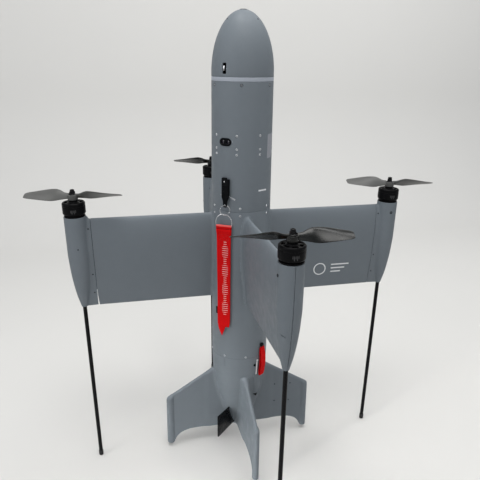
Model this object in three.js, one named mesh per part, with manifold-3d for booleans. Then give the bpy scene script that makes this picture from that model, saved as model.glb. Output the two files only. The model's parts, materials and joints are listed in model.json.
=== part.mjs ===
// Tail-sitting fixed wing drone: a round fuselage standing nose up on four legs, with a
// rectangular wing and a tail fin on each of its four sides. Every wing carries a two-part
// nacelle at its tip, with a motor and propeller on top and a carbon leg below.
//
// Millimetres, +Z up. The origin is on the fuselage axis at ground level.
// An arm is one wing with its nacelle, motor, leg and tail fin. Arms are built in a shared
// arm frame: +X outwards along the wing, +Y across its thickness, +Z up. They are then
// turned about Z, so the right arm points along +X and the front arm along -Y.

import * as THREE from 'three';
import { mergeVertices } from 'three/addons/utils/BufferGeometryUtils.js';
import Module from 'manifold-3d';

const wasm = await Module();
wasm.setup();

// ---- Driving dimensions ---------------------------------------------------------------

const DEG = Math.PI / 180;
const FIT_GAP = 0.3;

// Fuselage, from the tail up
const BODY_RADIUS = 64;
const BODY_WALL = 2.4;
const BODY_SIDES = 32;
const TAIL_BOTTOM = 40;
const TAIL_SEAM = 250;
const MIDDLE_SEAM = 594.5;
const BAND_BOTTOM = 858;
const BAND_TOP = 866;
const NOSE_SHOULDER = 874;
const NOSE_TOP = 994.4;
const NOSE_CAP_RADIUS = 8;
const SPIGOT_THICKNESS = 2;
const SPIGOT_DEPTH = 12;
const SPIGOT_RISE = 3;
const TAIL_COLLAR_DEPTH = 5;

// Wings
const WING_TOP = 582;
const WING_CHORD = 195;
const WING_THICKNESS = 22;
const WING_TIP_INSET = 29.5;
const TRAILING_EDGE_HALF = 0.7;
const SPAR_RADIUS = 5;
const SPAR_WALL = 1;
const SPAR_REACH = 296;
const SPAR_HEIGHTS = { across: 532, along: 514 };

// Nacelles, on an axis that leans outwards towards the top
const LEG_BOTTOM_REACH = 333.8;
const POD_TOP_REACH = 351.7;
const POD_TOP = 588;
const POD_BOTTOM = 386.5;
const POD_RADIUS = 22.7;
const POD_WALL = 2.4;
const POD_SIDES = 20;
const POD_SPLIT_GAP = 0.3;

// Legs
const LEG_RADIUS = 4.3;
const LEG_WALL = 1;
const LEG_TOP = 438;
const FOOT_RADIUS = 5.2;
const FOOT_HEIGHT = 14;
const FOOT_FLOOR = 5;

// Motors and propellers, by height on the nacelle axis
const MOTOR_RADIUS = 23.3;
const BELL_BOTTOM = 593;
const BELL_TOP = 619;
const BELL_WALL = 3.2;
const BELL_ROOF = 4;
const BELL_OPENINGS = 6;
const BASE_BOTTOM = 588.4;
const BASE_TOP = 591.5;
const BASE_RADIUS = 21.5;
const STATOR_RADIUS = 18.6;
const STATOR_TOP = 611;
const SHAFT_RADIUS = 2.5;
const SHAFT_TOP = 642.5;
const MOTOR_SIDES = 16;
const HUB_RADIUS = 10.5;
const BOSS_RADIUS = 9;
const HUB_BOTTOM = 623.5;
const HUB_TOP = 634;
const BLADE_AXIS_HEIGHT = 631;
const PROPELLER_RADIUS = 101.6;
const PROPELLER_PITCH = 228;
const NUT_TOP = 644.5;

// Tail fins
const FIN_THICKNESS = 9;
const FIN_ROOT_TOP = 201;
const FIN_TIP_TOP = 137;
const FIN_TIP_REACH = 168;
const FIN_HEM = 41;
const FIN_FOOT_BOTTOM = 8;
const FIN_FOOT_HALF_WIDTH = 9;
const FIN_FOOT_HALF_DEPTH = 7;

// Small parts, each on its own bearing round the fuselage (degrees from +X towards +Y)
const SENSOR_BEARING = -135;
const SENSOR_HEIGHT = 739.5;
const SENSOR_WIDTH = 27;
const SENSOR_TALL = 16;
const SENSOR_WINDOW_RADIUS = 4.6;
const SENSOR_WINDOW_OFFSET = 6.2;
const NOTCH_BEARING = -138;
const NOTCH_BOTTOM = 872;
const NOTCH_TOP = 893;
const NOTCH_WIDTH = 9;
const PLUG_BEARING = -132;
const PLUG_TOP = 667;
const PLUG_SHOULDER = 625;
const PLUG_TIP = 604.8;
const PLUG_WIDTH = 17.5;
const PLUG_OUTER_REACH = 70.4;
const STRAP_THICKNESS = 1.2;
const STRAP_HALF_WIDTH = 5.7;
const EYE_HEIGHT = 609.9;
const EYE_RADIUS = 3.8;
const KEY_WIDTH = 10;
const KEY_BOTTOM = 636;
const KEY_TOP = 658;
const CHAIN_BEARING = -122;
const LINK_RADIUS = 10.5;
const LINK_WIRE = 0.5;
const LINK_TURN = 114;
const SPLIT_RADIUS = 18;
const SPLIT_WIRE = 0.9;
const SPLIT_SIDESTEP = -2.5;
const RING_OVERLAP = 2.2;
const RIBBON_WIDTH = 31;
const RIBBON_TOP = 566.4;
const RIBBON_BOTTOM = 308;
const RIBBON_HALF_THICKNESS = 1.4;
const LOOP_BOTTOM = 546;
const LOOP_HALF_DEPTH = 2.9;
const ANTENNA_BEARING = -135;
const ANTENNA_REACH = 92;
const ANTENNA_BOTTOM = 51;
const ANTENNA_TOP = 108;
const ANTENNA_THICKNESS = 2.4;
const TAIL_PIN_BEARING = -53;
const TAIL_PIN_HEIGHT = 277;
const TAIL_PIN_RADIUS = 3;
const TAIL_PIN_HEAD_RADIUS = 5;
const TAIL_RIBBON_WIDTH = 16;
const TAIL_RIBBON_BOTTOM = 199;
const OUTLET_BEARING = -58;
const OUTLET_TOP = 203;
const OUTLET_BOTTOM = 143;
const OUTLET_WALL = 1.4;

// Equipment inside
const BATTERY_HALF_WIDTH = 34;
const BATTERY_BOTTOM = 672;
const BATTERY_TOP = 840;
const TRAY_BOTTOM = 300;
const TRAY_TOP = 480;
const TRAY_SHEET = 3;
const BOARD_GAP = 0.3;

// Which side each arm is on, how far it is turned, and which way its propeller is handed
const ARMS = [
  { side: 'right', bearing: 0, hand: -1, blade: -6 },
  { side: 'back', bearing: 90, hand: 1, blade: -13 },
  { side: 'left', bearing: 180, hand: -1, blade: -15 },
  { side: 'front', bearing: 270, hand: 1, blade: -9 },
];

// ---- Closed bodies --------------------------------------------------------------------

function signedVolume(position, index) {
  const a = new THREE.Vector3();
  const b = new THREE.Vector3();
  const c = new THREE.Vector3();
  let sum = 0;
  for (let i = 0; i < index.length; i += 3) {
    a.fromBufferAttribute(position, index[i]);
    b.fromBufferAttribute(position, index[i + 1]);
    c.fromBufferAttribute(position, index[i + 2]);
    sum += a.dot(b.cross(c));
  }
  return sum / 6;
}

// Shares the vertices of a closed surface, drops its empty triangles and faces it outwards.
function closedBody(geometry) {
  const bare = geometry.index ? geometry.toNonIndexed() : geometry.clone();
  bare.deleteAttribute('normal');
  bare.deleteAttribute('uv');
  const merged = mergeVertices(bare, 1e-3);
  const index = [];
  for (let i = 0; i < merged.index.count; i += 3) {
    const [a, b, c] = [0, 1, 2].map((k) => merged.index.getX(i + k));
    if (a !== b && b !== c && c !== a) index.push(a, b, c);
  }
  if (signedVolume(merged.attributes.position, index) < 0) index.reverse();
  merged.setIndex(index);
  return merged;
}

function solid(geometry) {
  const body = closedBody(geometry);
  return new wasm.Manifold(new wasm.Mesh({
    numProp: 3,
    vertProperties: new Float32Array(body.attributes.position.array),
    triVerts: new Uint32Array(body.index.array),
  }));
}

function surface(body) {
  const mesh = body.getMesh();
  const geometry = new THREE.BufferGeometry();
  geometry.setAttribute('position', new THREE.BufferAttribute(mesh.vertProperties, 3));
  geometry.setIndex(new THREE.BufferAttribute(mesh.triVerts, 1));
  return geometry;
}

function cut(geometry, ...cutters) {
  return surface(cutters.reduce((body, cutter) => body.subtract(solid(cutter)), solid(geometry)));
}

function join(geometry, ...others) {
  return surface(others.reduce((body, other) => body.add(solid(other)), solid(geometry)));
}

function common(geometry, other) {
  return surface(solid(geometry).intersect(solid(other)));
}

// ---- Basic shapes ---------------------------------------------------------------------

// A block between two corners.
function block(low, high) {
  const size = high.map((value, i) => value - low[i]);
  const middle = high.map((value, i) => (value + low[i]) / 2);
  return new THREE.BoxGeometry(...size).translate(...middle);
}

// A body of revolution about +Z from [radius, height] points. The profile starts and ends on
// the axis, or ends where it starts.
function turned(profile, sides) {
  const points = profile.map(([radius, height]) => new THREE.Vector2(radius, height));
  return new THREE.LatheGeometry(points, sides).rotateX(Math.PI / 2);
}

function rod(radius, bottom, top, sides) {
  return turned([[0, bottom], [radius, bottom], [radius, top], [0, top]], sides);
}

function pipe(outer, inner, bottom, top, sides) {
  return turned([[inner, bottom], [outer, bottom], [outer, top], [inner, top], [inner, bottom]], sides);
}

function polygon(points) {
  return new THREE.Shape(points.map(([x, y]) => new THREE.Vector2(x, y)));
}

function prism(shape, depth, curveSegments = 8) {
  return new THREE.ExtrudeGeometry(shape, { depth, curveSegments, bevelEnabled: false });
}

// Stands a flat outline up so that it is drawn in Y and Z and extruded along X.
function alongX(shape, from, to, curveSegments) {
  const stand = new THREE.Matrix4().makeBasis(
    new THREE.Vector3(0, 1, 0), new THREE.Vector3(0, 0, 1), new THREE.Vector3(1, 0, 0));
  return prism(shape, to - from, curveSegments).applyMatrix4(stand).translate(from, 0, 0);
}

// Stands a flat outline up so that it is drawn in X and Z and extruded along Y about zero.
function acrossY(shape, thickness, curveSegments) {
  return prism(shape, thickness, curveSegments).rotateX(Math.PI / 2).translate(0, thickness / 2, 0);
}

// Turns a piece that was built along +X to a bearing round the fuselage.
function toBearing(geometry, bearing) {
  return geometry.rotateZ(bearing * DEG);
}

// An outline with half-round ends, centred on a point.
function stadium(width, height, x = 0, y = 0) {
  const radius = height / 2;
  const half = width / 2 - radius;
  const shape = new THREE.Shape();
  shape.moveTo(x - half, y - radius);
  shape.lineTo(x + half, y - radius);
  shape.absarc(x + half, y, radius, -Math.PI / 2, Math.PI / 2);
  shape.lineTo(x - half, y + radius);
  shape.absarc(x - half, y, radius, Math.PI / 2, 1.5 * Math.PI);
  return shape;
}

// A ring of round wire about an axis along Y.
function wireRing(radius, wire, sides, wireSides) {
  return new THREE.TorusGeometry(radius, wire, wireSides, sides).rotateX(Math.PI / 2);
}

// ---- Materials ------------------------------------------------------------------------

function material(color, roughness, metalness = 0) {
  return new THREE.MeshStandardMaterial({ color, roughness, metalness });
}

const BODY_PAINT = material(0x68707a, 0.75);
const BAND_PAINT = material(0xa0a6af, 0.6);
const CARBON = material(0x15161a, 0.45);
const PROPELLER_PLASTIC = material(0x4a4c4c, 0.35);
const MOTOR_METAL = material(0x0e0e10, 0.4, 0.7);
const BLACK_PLASTIC = material(0x0b0c0e, 0.5);
const STEEL = material(0xb8bcc0, 0.25, 1);
const RUBBER = material(0x101012, 0.85);
const RED_WEBBING = material(0xc8060c, 0.8);
const BOARD = material(0x1d3b2a, 0.5);
const BATTERY_WRAP = material(0x20242c, 0.5);

function part(name, geometry, finish) {
  const body = closedBody(geometry);
  body.computeVertexNormals();
  const mesh = new THREE.Mesh(body, finish);
  mesh.name = name;
  return mesh;
}

// ---- Fuselage -------------------------------------------------------------------------

const INNER_RADIUS = BODY_RADIUS - BODY_WALL;

// Cutters run between these two reaches to pass right through the fuselage wall.
const WALL_INSIDE = 50;
const WALL_OUTSIDE = 70;

// Tail cone radius over height, from the bottom up.
const TAIL_CURVE = new THREE.SplineCurve([
  [10, TAIL_BOTTOM], [17, 52], [32.4, 80], [46.5, 120], [57, 158], [62, 205], [BODY_RADIUS, TAIL_SEAM],
].map(([radius, height]) => new THREE.Vector2(radius, height)));

// The tail cone as a full body of revolution, grown or shrunk by an offset.
function tailForm(offset, bottom = TAIL_BOTTOM, steps = 8) {
  const side = TAIL_CURVE.getSpacedPoints(steps).map(({ x, y }) => [x + offset, y]);
  side[0][1] = bottom;
  return turned([[0, bottom], ...side, [0, TAIL_SEAM]], BODY_SIDES);
}

// The nose's half ellipse above its straight shoulder.
function noseForm(offset, bottom, steps = 8) {
  const height = NOSE_TOP - NOSE_SHOULDER + offset;
  const radius = BODY_RADIUS + offset;
  const profile = [[0, bottom], [radius, bottom]];
  for (let i = 0; i <= steps; i += 1) {
    const angle = (Math.PI / 2) * (i / steps);
    profile.push([radius * Math.cos(angle), NOSE_SHOULDER + height * Math.sin(angle)]);
  }
  profile[profile.length - 1][0] = 0;
  return turned(profile, BODY_SIDES);
}

function noseCone() {
  const half = NOTCH_WIDTH / 2;
  const notch = block([WALL_INSIDE, -half, NOTCH_BOTTOM], [WALL_OUTSIDE, half, NOTCH_TOP]);
  const capSeat = rod(NOSE_CAP_RADIUS + FIT_GAP, NOSE_TOP - 12, NOSE_TOP + 1, 16);
  return cut(noseForm(0, BAND_TOP + FIT_GAP), noseForm(-BODY_WALL, BAND_TOP, 6),
    toBearing(notch, NOTCH_BEARING), capSeat);
}

function noseTipCap() {
  const stem = rod(NOSE_CAP_RADIUS, NOSE_TOP - 6, NOSE_TOP + 1, 16);
  return common(stem, noseForm(0.4, BAND_TOP));
}

function noseJointRing() {
  const outer = INNER_RADIUS - FIT_GAP;
  const inner = outer - SPIGOT_THICKNESS;
  const spigot = pipe(outer, inner, BAND_BOTTOM - SPIGOT_DEPTH, BAND_TOP + SPIGOT_RISE, BODY_SIDES);
  const band = pipe(BODY_RADIUS, INNER_RADIUS - 1, BAND_BOTTOM, BAND_TOP, BODY_SIDES);
  return join(spigot, band);
}

function bodyTube(bottom, top) {
  return pipe(BODY_RADIUS, INNER_RADIUS, bottom, top, BODY_SIDES);
}

function frontFuselage() {
  const tube = bodyTube(MIDDLE_SEAM + FIT_GAP / 2, BAND_BOTTOM - FIT_GAP);
  const room = 2 * FIT_GAP;
  const sensorHole = stadium(SENSOR_WIDTH + room, SENSOR_TALL + room, 0, SENSOR_HEIGHT);
  const half = KEY_WIDTH / 2 + FIT_GAP;
  const plugSlot = block([WALL_INSIDE, -half, KEY_BOTTOM - 1], [WALL_OUTSIDE, half, KEY_TOP + 1]);
  return cut(tube,
    toBearing(alongX(sensorHole, WALL_INSIDE, WALL_OUTSIDE, 5), SENSOR_BEARING),
    toBearing(plugSlot, PLUG_BEARING));
}

function centreFuselage() {
  const tube = bodyTube(TAIL_SEAM + FIT_GAP / 2, MIDDLE_SEAM - FIT_GAP / 2);
  const reach = BODY_RADIUS + 10;
  const sparHole = () => rod(SPAR_RADIUS + FIT_GAP, -reach, reach, 16);
  const pinHole = rod(TAIL_PIN_RADIUS + 0.4, WALL_INSIDE, WALL_OUTSIDE, 10).rotateY(Math.PI / 2);
  return cut(tube,
    sparHole().rotateY(Math.PI / 2).translate(0, 0, SPAR_HEIGHTS.across),
    sparHole().rotateX(Math.PI / 2).translate(0, 0, SPAR_HEIGHTS.along),
    toBearing(pinHole.translate(0, 0, TAIL_PIN_HEIGHT), TAIL_PIN_BEARING));
}

// The cooling outlet: a raised duct on the tail cone that narrows and opens downwards.
function outletDuct(inset) {
  const [upper, lower] = [10 - inset, 5.5 - inset];
  const [upperReach, lowerReach] = [61.8 - inset, 59.5 - inset];
  const mouth = OUTLET_BOTTOM - inset;
  const outline = polygon([
    [-upper, OUTLET_TOP], [-lower, OUTLET_BOTTOM], [lower, OUTLET_BOTTOM], [upper, OUTLET_TOP],
  ]);
  const side = polygon([[40, mouth], [lowerReach, mouth], [upperReach, OUTLET_TOP], [40, OUTLET_TOP]]);
  return common(alongX(outline, 30, WALL_OUTSIDE), acrossY(side, 4 * upper));
}

function tailCone() {
  const shell = join(tailForm(0), toBearing(outletDuct(0), OUTLET_BEARING));
  const cavity = tailForm(-BODY_WALL, TAIL_BOTTOM + BODY_WALL, 6);
  const collar = rod(INNER_RADIUS, TAIL_SEAM - TAIL_COLLAR_DEPTH, TAIL_SEAM + 1, BODY_SIDES);
  return cut(shell, cavity, collar, toBearing(outletDuct(OUTLET_WALL), OUTLET_BEARING));
}

function addFuselage(craft) {
  craft.add(
    part('nose_cone', noseCone(), BODY_PAINT),
    part('nose_tip_cap', noseTipCap(), BLACK_PLASTIC),
    part('nose_joint_ring', noseJointRing(), BAND_PAINT),
    part('front_fuselage', frontFuselage(), BODY_PAINT),
    part('centre_fuselage', centreFuselage(), BODY_PAINT),
    part('tail_cone', tailCone(), BODY_PAINT));
}

// ---- Wings and spars ------------------------------------------------------------------

const NACELLE_LEAN = Math.atan2(POD_TOP_REACH - LEG_BOTTOM_REACH, POD_TOP);

// The leaning axis: its own origin is where the leg meets the ground.
function placeOnNacelleAxis(object) {
  object.position.set(LEG_BOTTOM_REACH, 0, 0);
  object.rotation.y = NACELLE_LEAN;
  object.updateMatrix();
  return object;
}

const NACELLE_MATRIX = placeOnNacelleAxis(new THREE.Group()).matrix;

// Symmetric four-digit wing section, leading edge up, drawn in thickness and height.
function wingSection() {
  const steps = 10;
  const side = [];
  for (let i = 0; i <= steps; i += 1) {
    const s = (1 - Math.cos((Math.PI * i) / steps)) / 2;
    const curve = 0.2969 * Math.sqrt(s) - 0.126 * s - 0.3516 * s ** 2 + 0.2843 * s ** 3 - 0.1036 * s ** 4;
    side.push([5 * WING_THICKNESS * curve + TRAILING_EDGE_HALF * s, WING_TOP - s * WING_CHORD]);
  }
  const mirrored = side.slice(1).reverse().map(([y, z]) => [-y, z]);
  return polygon([...side, ...mirrored]);
}

function sparBore(height) {
  const bore = rod(SPAR_RADIUS + FIT_GAP, WALL_INSIDE, SPAR_REACH + 1, 16);
  return bore.rotateY(Math.PI / 2).translate(0, 0, height);
}

// The joint between wing and nacelle is parallel to the nacelle's leaning axis. This block is
// larger than a wing section, and lies between two distances from that axis.
function besideTipJoint(from, to) {
  const bottom = WING_TOP - WING_CHORD - 80;
  return block([from, -40, bottom], [to, 40, WING_TOP + 80]).applyMatrix4(NACELLE_MATRIX);
}

function wing(sparHeight) {
  const panel = alongX(wingSection(), BODY_RADIUS - 20, LEG_BOTTOM_REACH);
  const bodyRoom = rod(BODY_RADIUS + FIT_GAP, TAIL_SEAM, MIDDLE_SEAM, BODY_SIDES);
  const inboard = besideTipJoint(-LEG_BOTTOM_REACH, -WING_TIP_INSET - FIT_GAP / 2);
  return cut(common(panel, inboard), bodyRoom, sparBore(sparHeight));
}

function addSpars(craft) {
  const tube = () => pipe(SPAR_RADIUS, SPAR_RADIUS - SPAR_WALL, -SPAR_REACH, SPAR_REACH, 16);
  const across = tube().rotateY(Math.PI / 2).translate(0, 0, SPAR_HEIGHTS.across);
  const along = tube().rotateX(Math.PI / 2).translate(0, 0, SPAR_HEIGHTS.along);
  craft.add(part('spar_left_right', across, CARBON), part('spar_front_back', along, CARBON));
}

// ---- Nacelles and legs ----------------------------------------------------------------

// The pod narrows from its full radius towards the leg along a smooth curve.
function podProfile() {
  const curve = new THREE.SplineCurve([
    [6.2, POD_BOTTOM], [13.8, 418], [19.6, 459], [POD_RADIUS, 503],
  ].map(([radius, height]) => new THREE.Vector2(radius, height)));
  const side = curve.getSpacedPoints(6).map(({ x, y }) => [x, y]);
  return [[0, POD_BOTTOM], ...side, [POD_RADIUS, POD_TOP], [0, POD_TOP]];
}

// The leg's bore, then a room that widens above the leg up to the open top.
function podCavity() {
  const bore = LEG_RADIUS + FIT_GAP;
  const room = POD_RADIUS - POD_WALL;
  const floor = LEG_TOP + 1;
  return turned([
    [0, POD_BOTTOM - 2], [bore, POD_BOTTOM - 2], [bore, floor], [2 * bore, floor],
    [16.5, floor + 31], [room, floor + 69], [room, POD_TOP + 2], [0, POD_TOP + 2],
  ], POD_SIDES);
}

function nacelleHalf(sideSign) {
  const pod = turned(podProfile(), POD_SIDES).applyMatrix4(NACELLE_MATRIX);
  const outboard = besideTipJoint(-WING_TIP_INSET + FIT_GAP / 2, 0);
  const section = alongX(wingSection(), SPAR_REACH, POD_TOP_REACH - 8);
  const flange = common(section, outboard);
  const cavity = podCavity().applyMatrix4(NACELLE_MATRIX);
  const halfSpace = block([SPAR_REACH, POD_SPLIT_GAP / 2, POD_BOTTOM - 20], [400, 60, POD_TOP + 20]);
  if (sideSign < 0) halfSpace.rotateX(Math.PI).translate(0, 0, POD_BOTTOM + POD_TOP);
  return common(cut(join(pod, flange), cavity), halfSpace);
}

function legTube() {
  return pipe(LEG_RADIUS, LEG_RADIUS - LEG_WALL, FOOT_FLOOR + 0.6, LEG_TOP, 16);
}

// The rubber foot: a socket on the leaning leg with its bottom cut level with the ground.
function legFoot() {
  const boot = rod(FOOT_RADIUS, -5, FOOT_HEIGHT, 16).applyMatrix4(NACELLE_MATRIX);
  const socket = rod(LEG_RADIUS + 0.2, FOOT_FLOOR, FOOT_HEIGHT + 2, 16).applyMatrix4(NACELLE_MATRIX);
  const room = 4 * FOOT_RADIUS;
  const level = block([-room, -room, 0], [room, room, FOOT_HEIGHT - 1]).translate(LEG_BOTTOM_REACH, 0, 0);
  return common(cut(boot, socket), level);
}

// ---- Motors and propellers, in the nacelle axis frame ---------------------------------

function motorBase() {
  const bore = SHAFT_RADIUS + 0.4;
  return turned([
    [bore, BASE_BOTTOM], [BASE_RADIUS, BASE_BOTTOM], [BASE_RADIUS, BASE_TOP],
    [STATOR_RADIUS, BASE_TOP + 0.5], [STATOR_RADIUS, STATOR_TOP], [bore, STATOR_TOP], [bore, BASE_BOTTOM],
  ], MOTOR_SIDES);
}

// The turning can with its shaft and the openings in its top.
function motorBell() {
  const inner = MOTOR_RADIUS - BELL_WALL;
  const roof = BELL_TOP - BELL_ROOF;
  const can = turned([
    [0, BELL_BOTTOM + 2], [SHAFT_RADIUS, BELL_BOTTOM + 2], [SHAFT_RADIUS, roof], [inner, roof],
    [inner, BELL_BOTTOM], [MOTOR_RADIUS, BELL_BOTTOM], [MOTOR_RADIUS, BELL_TOP - 2.5],
    [MOTOR_RADIUS - 2, BELL_TOP], [BOSS_RADIUS, BELL_TOP], [BOSS_RADIUS, HUB_BOTTOM - 0.2],
    [SHAFT_RADIUS, HUB_BOTTOM - 0.2], [SHAFT_RADIUS, SHAFT_TOP], [0, SHAFT_TOP],
  ], MOTOR_SIDES);
  const openings = [];
  for (let i = 0; i < BELL_OPENINGS; i += 1) {
    const opening = block([12.5, -2.6, roof - 2], [18.5, 2.6, BELL_TOP + 2]);
    openings.push(opening.rotateZ((2 * Math.PI * i) / BELL_OPENINGS));
  }
  return cut(can, ...openings);
}

// Blade outline: distance of the leading and trailing edges from the blade's own axis.
const BLADE_EDGES = [
  [6, 5, 5], [16, 8, 7.5], [28, 14.7, 9.5], [44, 18.6, 12.5], [62, 19, 12], [80, 17, 10],
  [95, 14.6, 7.5], [PROPELLER_RADIUS, 11, 4.5],
];

// One blade along +X: lens sections turned to a constant pitch, leading edge up.
function blade(hand, turn) {
  const positions = [];
  const index = [];
  const ring = 8;
  BLADE_EDGES.forEach(([reach, lead, trail]) => {
    const angle = Math.min(Math.atan(PROPELLER_PITCH / (2 * Math.PI * reach)), 48 * DEG);
    const half = 2.6 - (1.7 * reach) / PROPELLER_RADIUS;
    for (let i = 0; i < ring; i += 1) {
      const phase = (2 * Math.PI * i) / ring;
      const chord = (lead - trail) / 2 + ((lead + trail) / 2) * Math.cos(phase);
      const thick = half * Math.sin(phase);
      const y = hand * (chord * Math.cos(angle) - thick * Math.sin(angle));
      const z = chord * Math.sin(angle) + thick * Math.cos(angle);
      positions.push(reach, y, z + BLADE_AXIS_HEIGHT);
    }
  });
  for (let k = 0; k < BLADE_EDGES.length - 1; k += 1) {
    for (let i = 0; i < ring; i += 1) {
      const a = k * ring + i;
      const b = k * ring + ((i + 1) % ring);
      index.push(a, b, a + ring, b, b + ring, a + ring);
    }
  }
  const last = (BLADE_EDGES.length - 1) * ring;
  for (let i = 1; i < ring - 1; i += 1) {
    index.push(0, i + 1, i, last, last + i, last + i + 1);
  }
  const geometry = new THREE.BufferGeometry();
  geometry.setAttribute('position', new THREE.Float32BufferAttribute(positions, 3));
  geometry.setIndex(index);
  return geometry.rotateZ(turn);
}

function propeller(hand, turn) {
  const hub = rod(HUB_RADIUS, HUB_BOTTOM, HUB_TOP, MOTOR_SIDES);
  const bore = rod(SHAFT_RADIUS + 0.25, HUB_BOTTOM - 8, HUB_TOP + 8, 12);
  const nutRoom = rod(8.2, HUB_TOP, HUB_TOP + 30, 12);
  const motorRoom = rod(30, HUB_BOTTOM - 30, BELL_TOP + 1, 12);
  return cut(join(hub, blade(hand, turn), blade(hand, turn + Math.PI)), bore, nutRoom, motorRoom);
}

function propellerNut() {
  const flange = rod(7.6, HUB_TOP + 0.2, HUB_TOP + 2, 12);
  const hexagon = rod(5, HUB_TOP + 1, NUT_TOP, 6);
  return cut(join(flange, hexagon), rod(SHAFT_RADIUS + 0.2, HUB_TOP - 2, SHAFT_TOP + 0.3, 12));
}

// ---- Tail fins ------------------------------------------------------------------------

// The fin in reach and height: swept leading edge, level hem, and a curve down to the foot.
function finOutline() {
  const inside = BODY_RADIUS - 34;
  const toe = FIN_FOOT_BOTTOM + 5;
  const shape = new THREE.Shape();
  shape.moveTo(inside, FIN_HEM);
  shape.lineTo(113, FIN_HEM);
  shape.quadraticCurveTo(146, FIN_HEM - 5, FIN_TIP_REACH - 7, toe);
  shape.lineTo(FIN_TIP_REACH + 4, toe);
  shape.lineTo(FIN_TIP_REACH + 6, FIN_TIP_TOP - 8);
  shape.quadraticCurveTo(FIN_TIP_REACH + 5.5, FIN_TIP_TOP - 2, FIN_TIP_REACH, FIN_TIP_TOP + 0.5);
  shape.lineTo(BODY_RADIUS, FIN_ROOT_TOP);
  shape.lineTo(inside, FIN_ROOT_TOP + 20);
  return shape;
}

// The rounded rib at the fin's tip, which ends in the fin's foot.
function finRib() {
  const rib = turned([
    [0, FIN_FOOT_BOTTOM], [0.72, FIN_FOOT_BOTTOM], [1, FIN_FOOT_BOTTOM + 6], [1, FIN_TIP_TOP - 18],
    [0.8, FIN_TIP_TOP - 7], [0, FIN_TIP_TOP - 2],
  ], 16);
  return rib.scale(FIN_FOOT_HALF_WIDTH, FIN_FOOT_HALF_DEPTH, 1).translate(FIN_TIP_REACH - 1, 0, 0);
}

function fin() {
  const panel = acrossY(finOutline(), FIN_THICKNESS, 6);
  const bodyRoom = join(tailForm(FIT_GAP, TAIL_BOTTOM - 20),
    rod(BODY_RADIUS + FIT_GAP, TAIL_SEAM - 1, TAIL_SEAM + 50, BODY_SIDES));
  return cut(join(panel, finRib()), bodyRoom);
}

// ---- Arms -----------------------------------------------------------------------------

function addArm(craft, { side, bearing, hand, blade: bladeBearing }) {
  const arm = new THREE.Group();
  arm.rotation.z = bearing * DEG;
  const alongBody = side === 'front' || side === 'back';
  const sparHeight = alongBody ? SPAR_HEIGHTS.along : SPAR_HEIGHTS.across;
  arm.add(
    part(`wing_${side}`, wing(sparHeight), BODY_PAINT),
    part(`nacelle_${side}_half_a`, nacelleHalf(1), BODY_PAINT),
    part(`nacelle_${side}_half_b`, nacelleHalf(-1), BODY_PAINT),
    part(`leg_foot_${side}`, legFoot(), RUBBER),
    part(`fin_${side}`, fin(), BODY_PAINT));

  const nacelle = placeOnNacelleAxis(new THREE.Group());
  const turn = (bladeBearing - bearing) * DEG;
  nacelle.add(
    part(`leg_tube_${side}`, legTube(), CARBON),
    part(`motor_base_${side}`, motorBase(), MOTOR_METAL),
    part(`motor_bell_${side}`, motorBell(), MOTOR_METAL),
    part(`propeller_${side}`, propeller(hand, turn), PROPELLER_PLASTIC),
    part(`propeller_nut_${side}`, propellerNut(), BLACK_PLASTIC));
  arm.add(nacelle);
  craft.add(arm);
}

// ---- Equipment inside -----------------------------------------------------------------

// An upright plate between two round bulkheads with holes for the cables.
function avionicsTray() {
  const half = TRAY_SHEET / 2;
  const plate = block([-50, -half, TRAY_BOTTOM], [50, half, TRAY_TOP]);
  const lower = rod(INNER_RADIUS - 0.4, TRAY_BOTTOM, TRAY_BOTTOM + TRAY_SHEET, BODY_SIDES);
  const upper = rod(INNER_RADIUS - 0.4, TRAY_TOP - TRAY_SHEET, TRAY_TOP, BODY_SIDES);
  const cableHole = () => rod(12, TRAY_BOTTOM - 10, TRAY_TOP + 10, 12);
  return cut(join(plate, lower, upper),
    cableHole().translate(0, 38, 0), cableHole().translate(0, -38, 0));
}

function addEquipment(craft) {
  const half = BATTERY_HALF_WIDTH;
  const face = TRAY_SHEET / 2 + BOARD_GAP;
  craft.add(
    part('battery_pack', block([-half, -half, BATTERY_BOTTOM], [half, half, BATTERY_TOP]), BATTERY_WRAP),
    part('avionics_tray', avionicsTray(), CARBON),
    part('flight_controller', block([-22, face, 400], [22, 16, 450]), BOARD),
    part('speed_controller', block([-26, -16, 320], [26, -face, 385]), BOARD));
}

// ---- Fittings on the outside ----------------------------------------------------------

// The downward-looking range sensor: two round windows in a black housing.
function rangeSensor() {
  const outline = stadium(SENSOR_WIDTH, SENSOR_TALL, 0, SENSOR_HEIGHT);
  const housing = alongX(outline, WALL_INSIDE, WALL_OUTSIDE, 5);
  const face = rod(BODY_RADIUS + 0.2, SENSOR_HEIGHT - 20, SENSOR_HEIGHT + 20, BODY_SIDES);
  const windowAt = (y) => rod(SENSOR_WINDOW_RADIUS, BODY_RADIUS - 3, WALL_OUTSIDE, 14)
    .rotateY(Math.PI / 2).translate(0, y, SENSOR_HEIGHT);
  const windows = [windowAt(-SENSOR_WINDOW_OFFSET), windowAt(SENSOR_WINDOW_OFFSET)];
  return toBearing(cut(common(housing, face), ...windows), SENSOR_BEARING);
}

// A thin upright plate between two fins, with its inner edge following the tail cone.
function bladeAntenna() {
  const plate = acrossY(polygon([
    [10, ANTENNA_BOTTOM + 2], [ANTENNA_REACH - 1, ANTENNA_BOTTOM], [ANTENNA_REACH, ANTENNA_TOP],
    [30, ANTENNA_TOP],
  ]), ANTENNA_THICKNESS);
  return toBearing(cut(plate, tailForm(FIT_GAP)), ANTENNA_BEARING);
}

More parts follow.
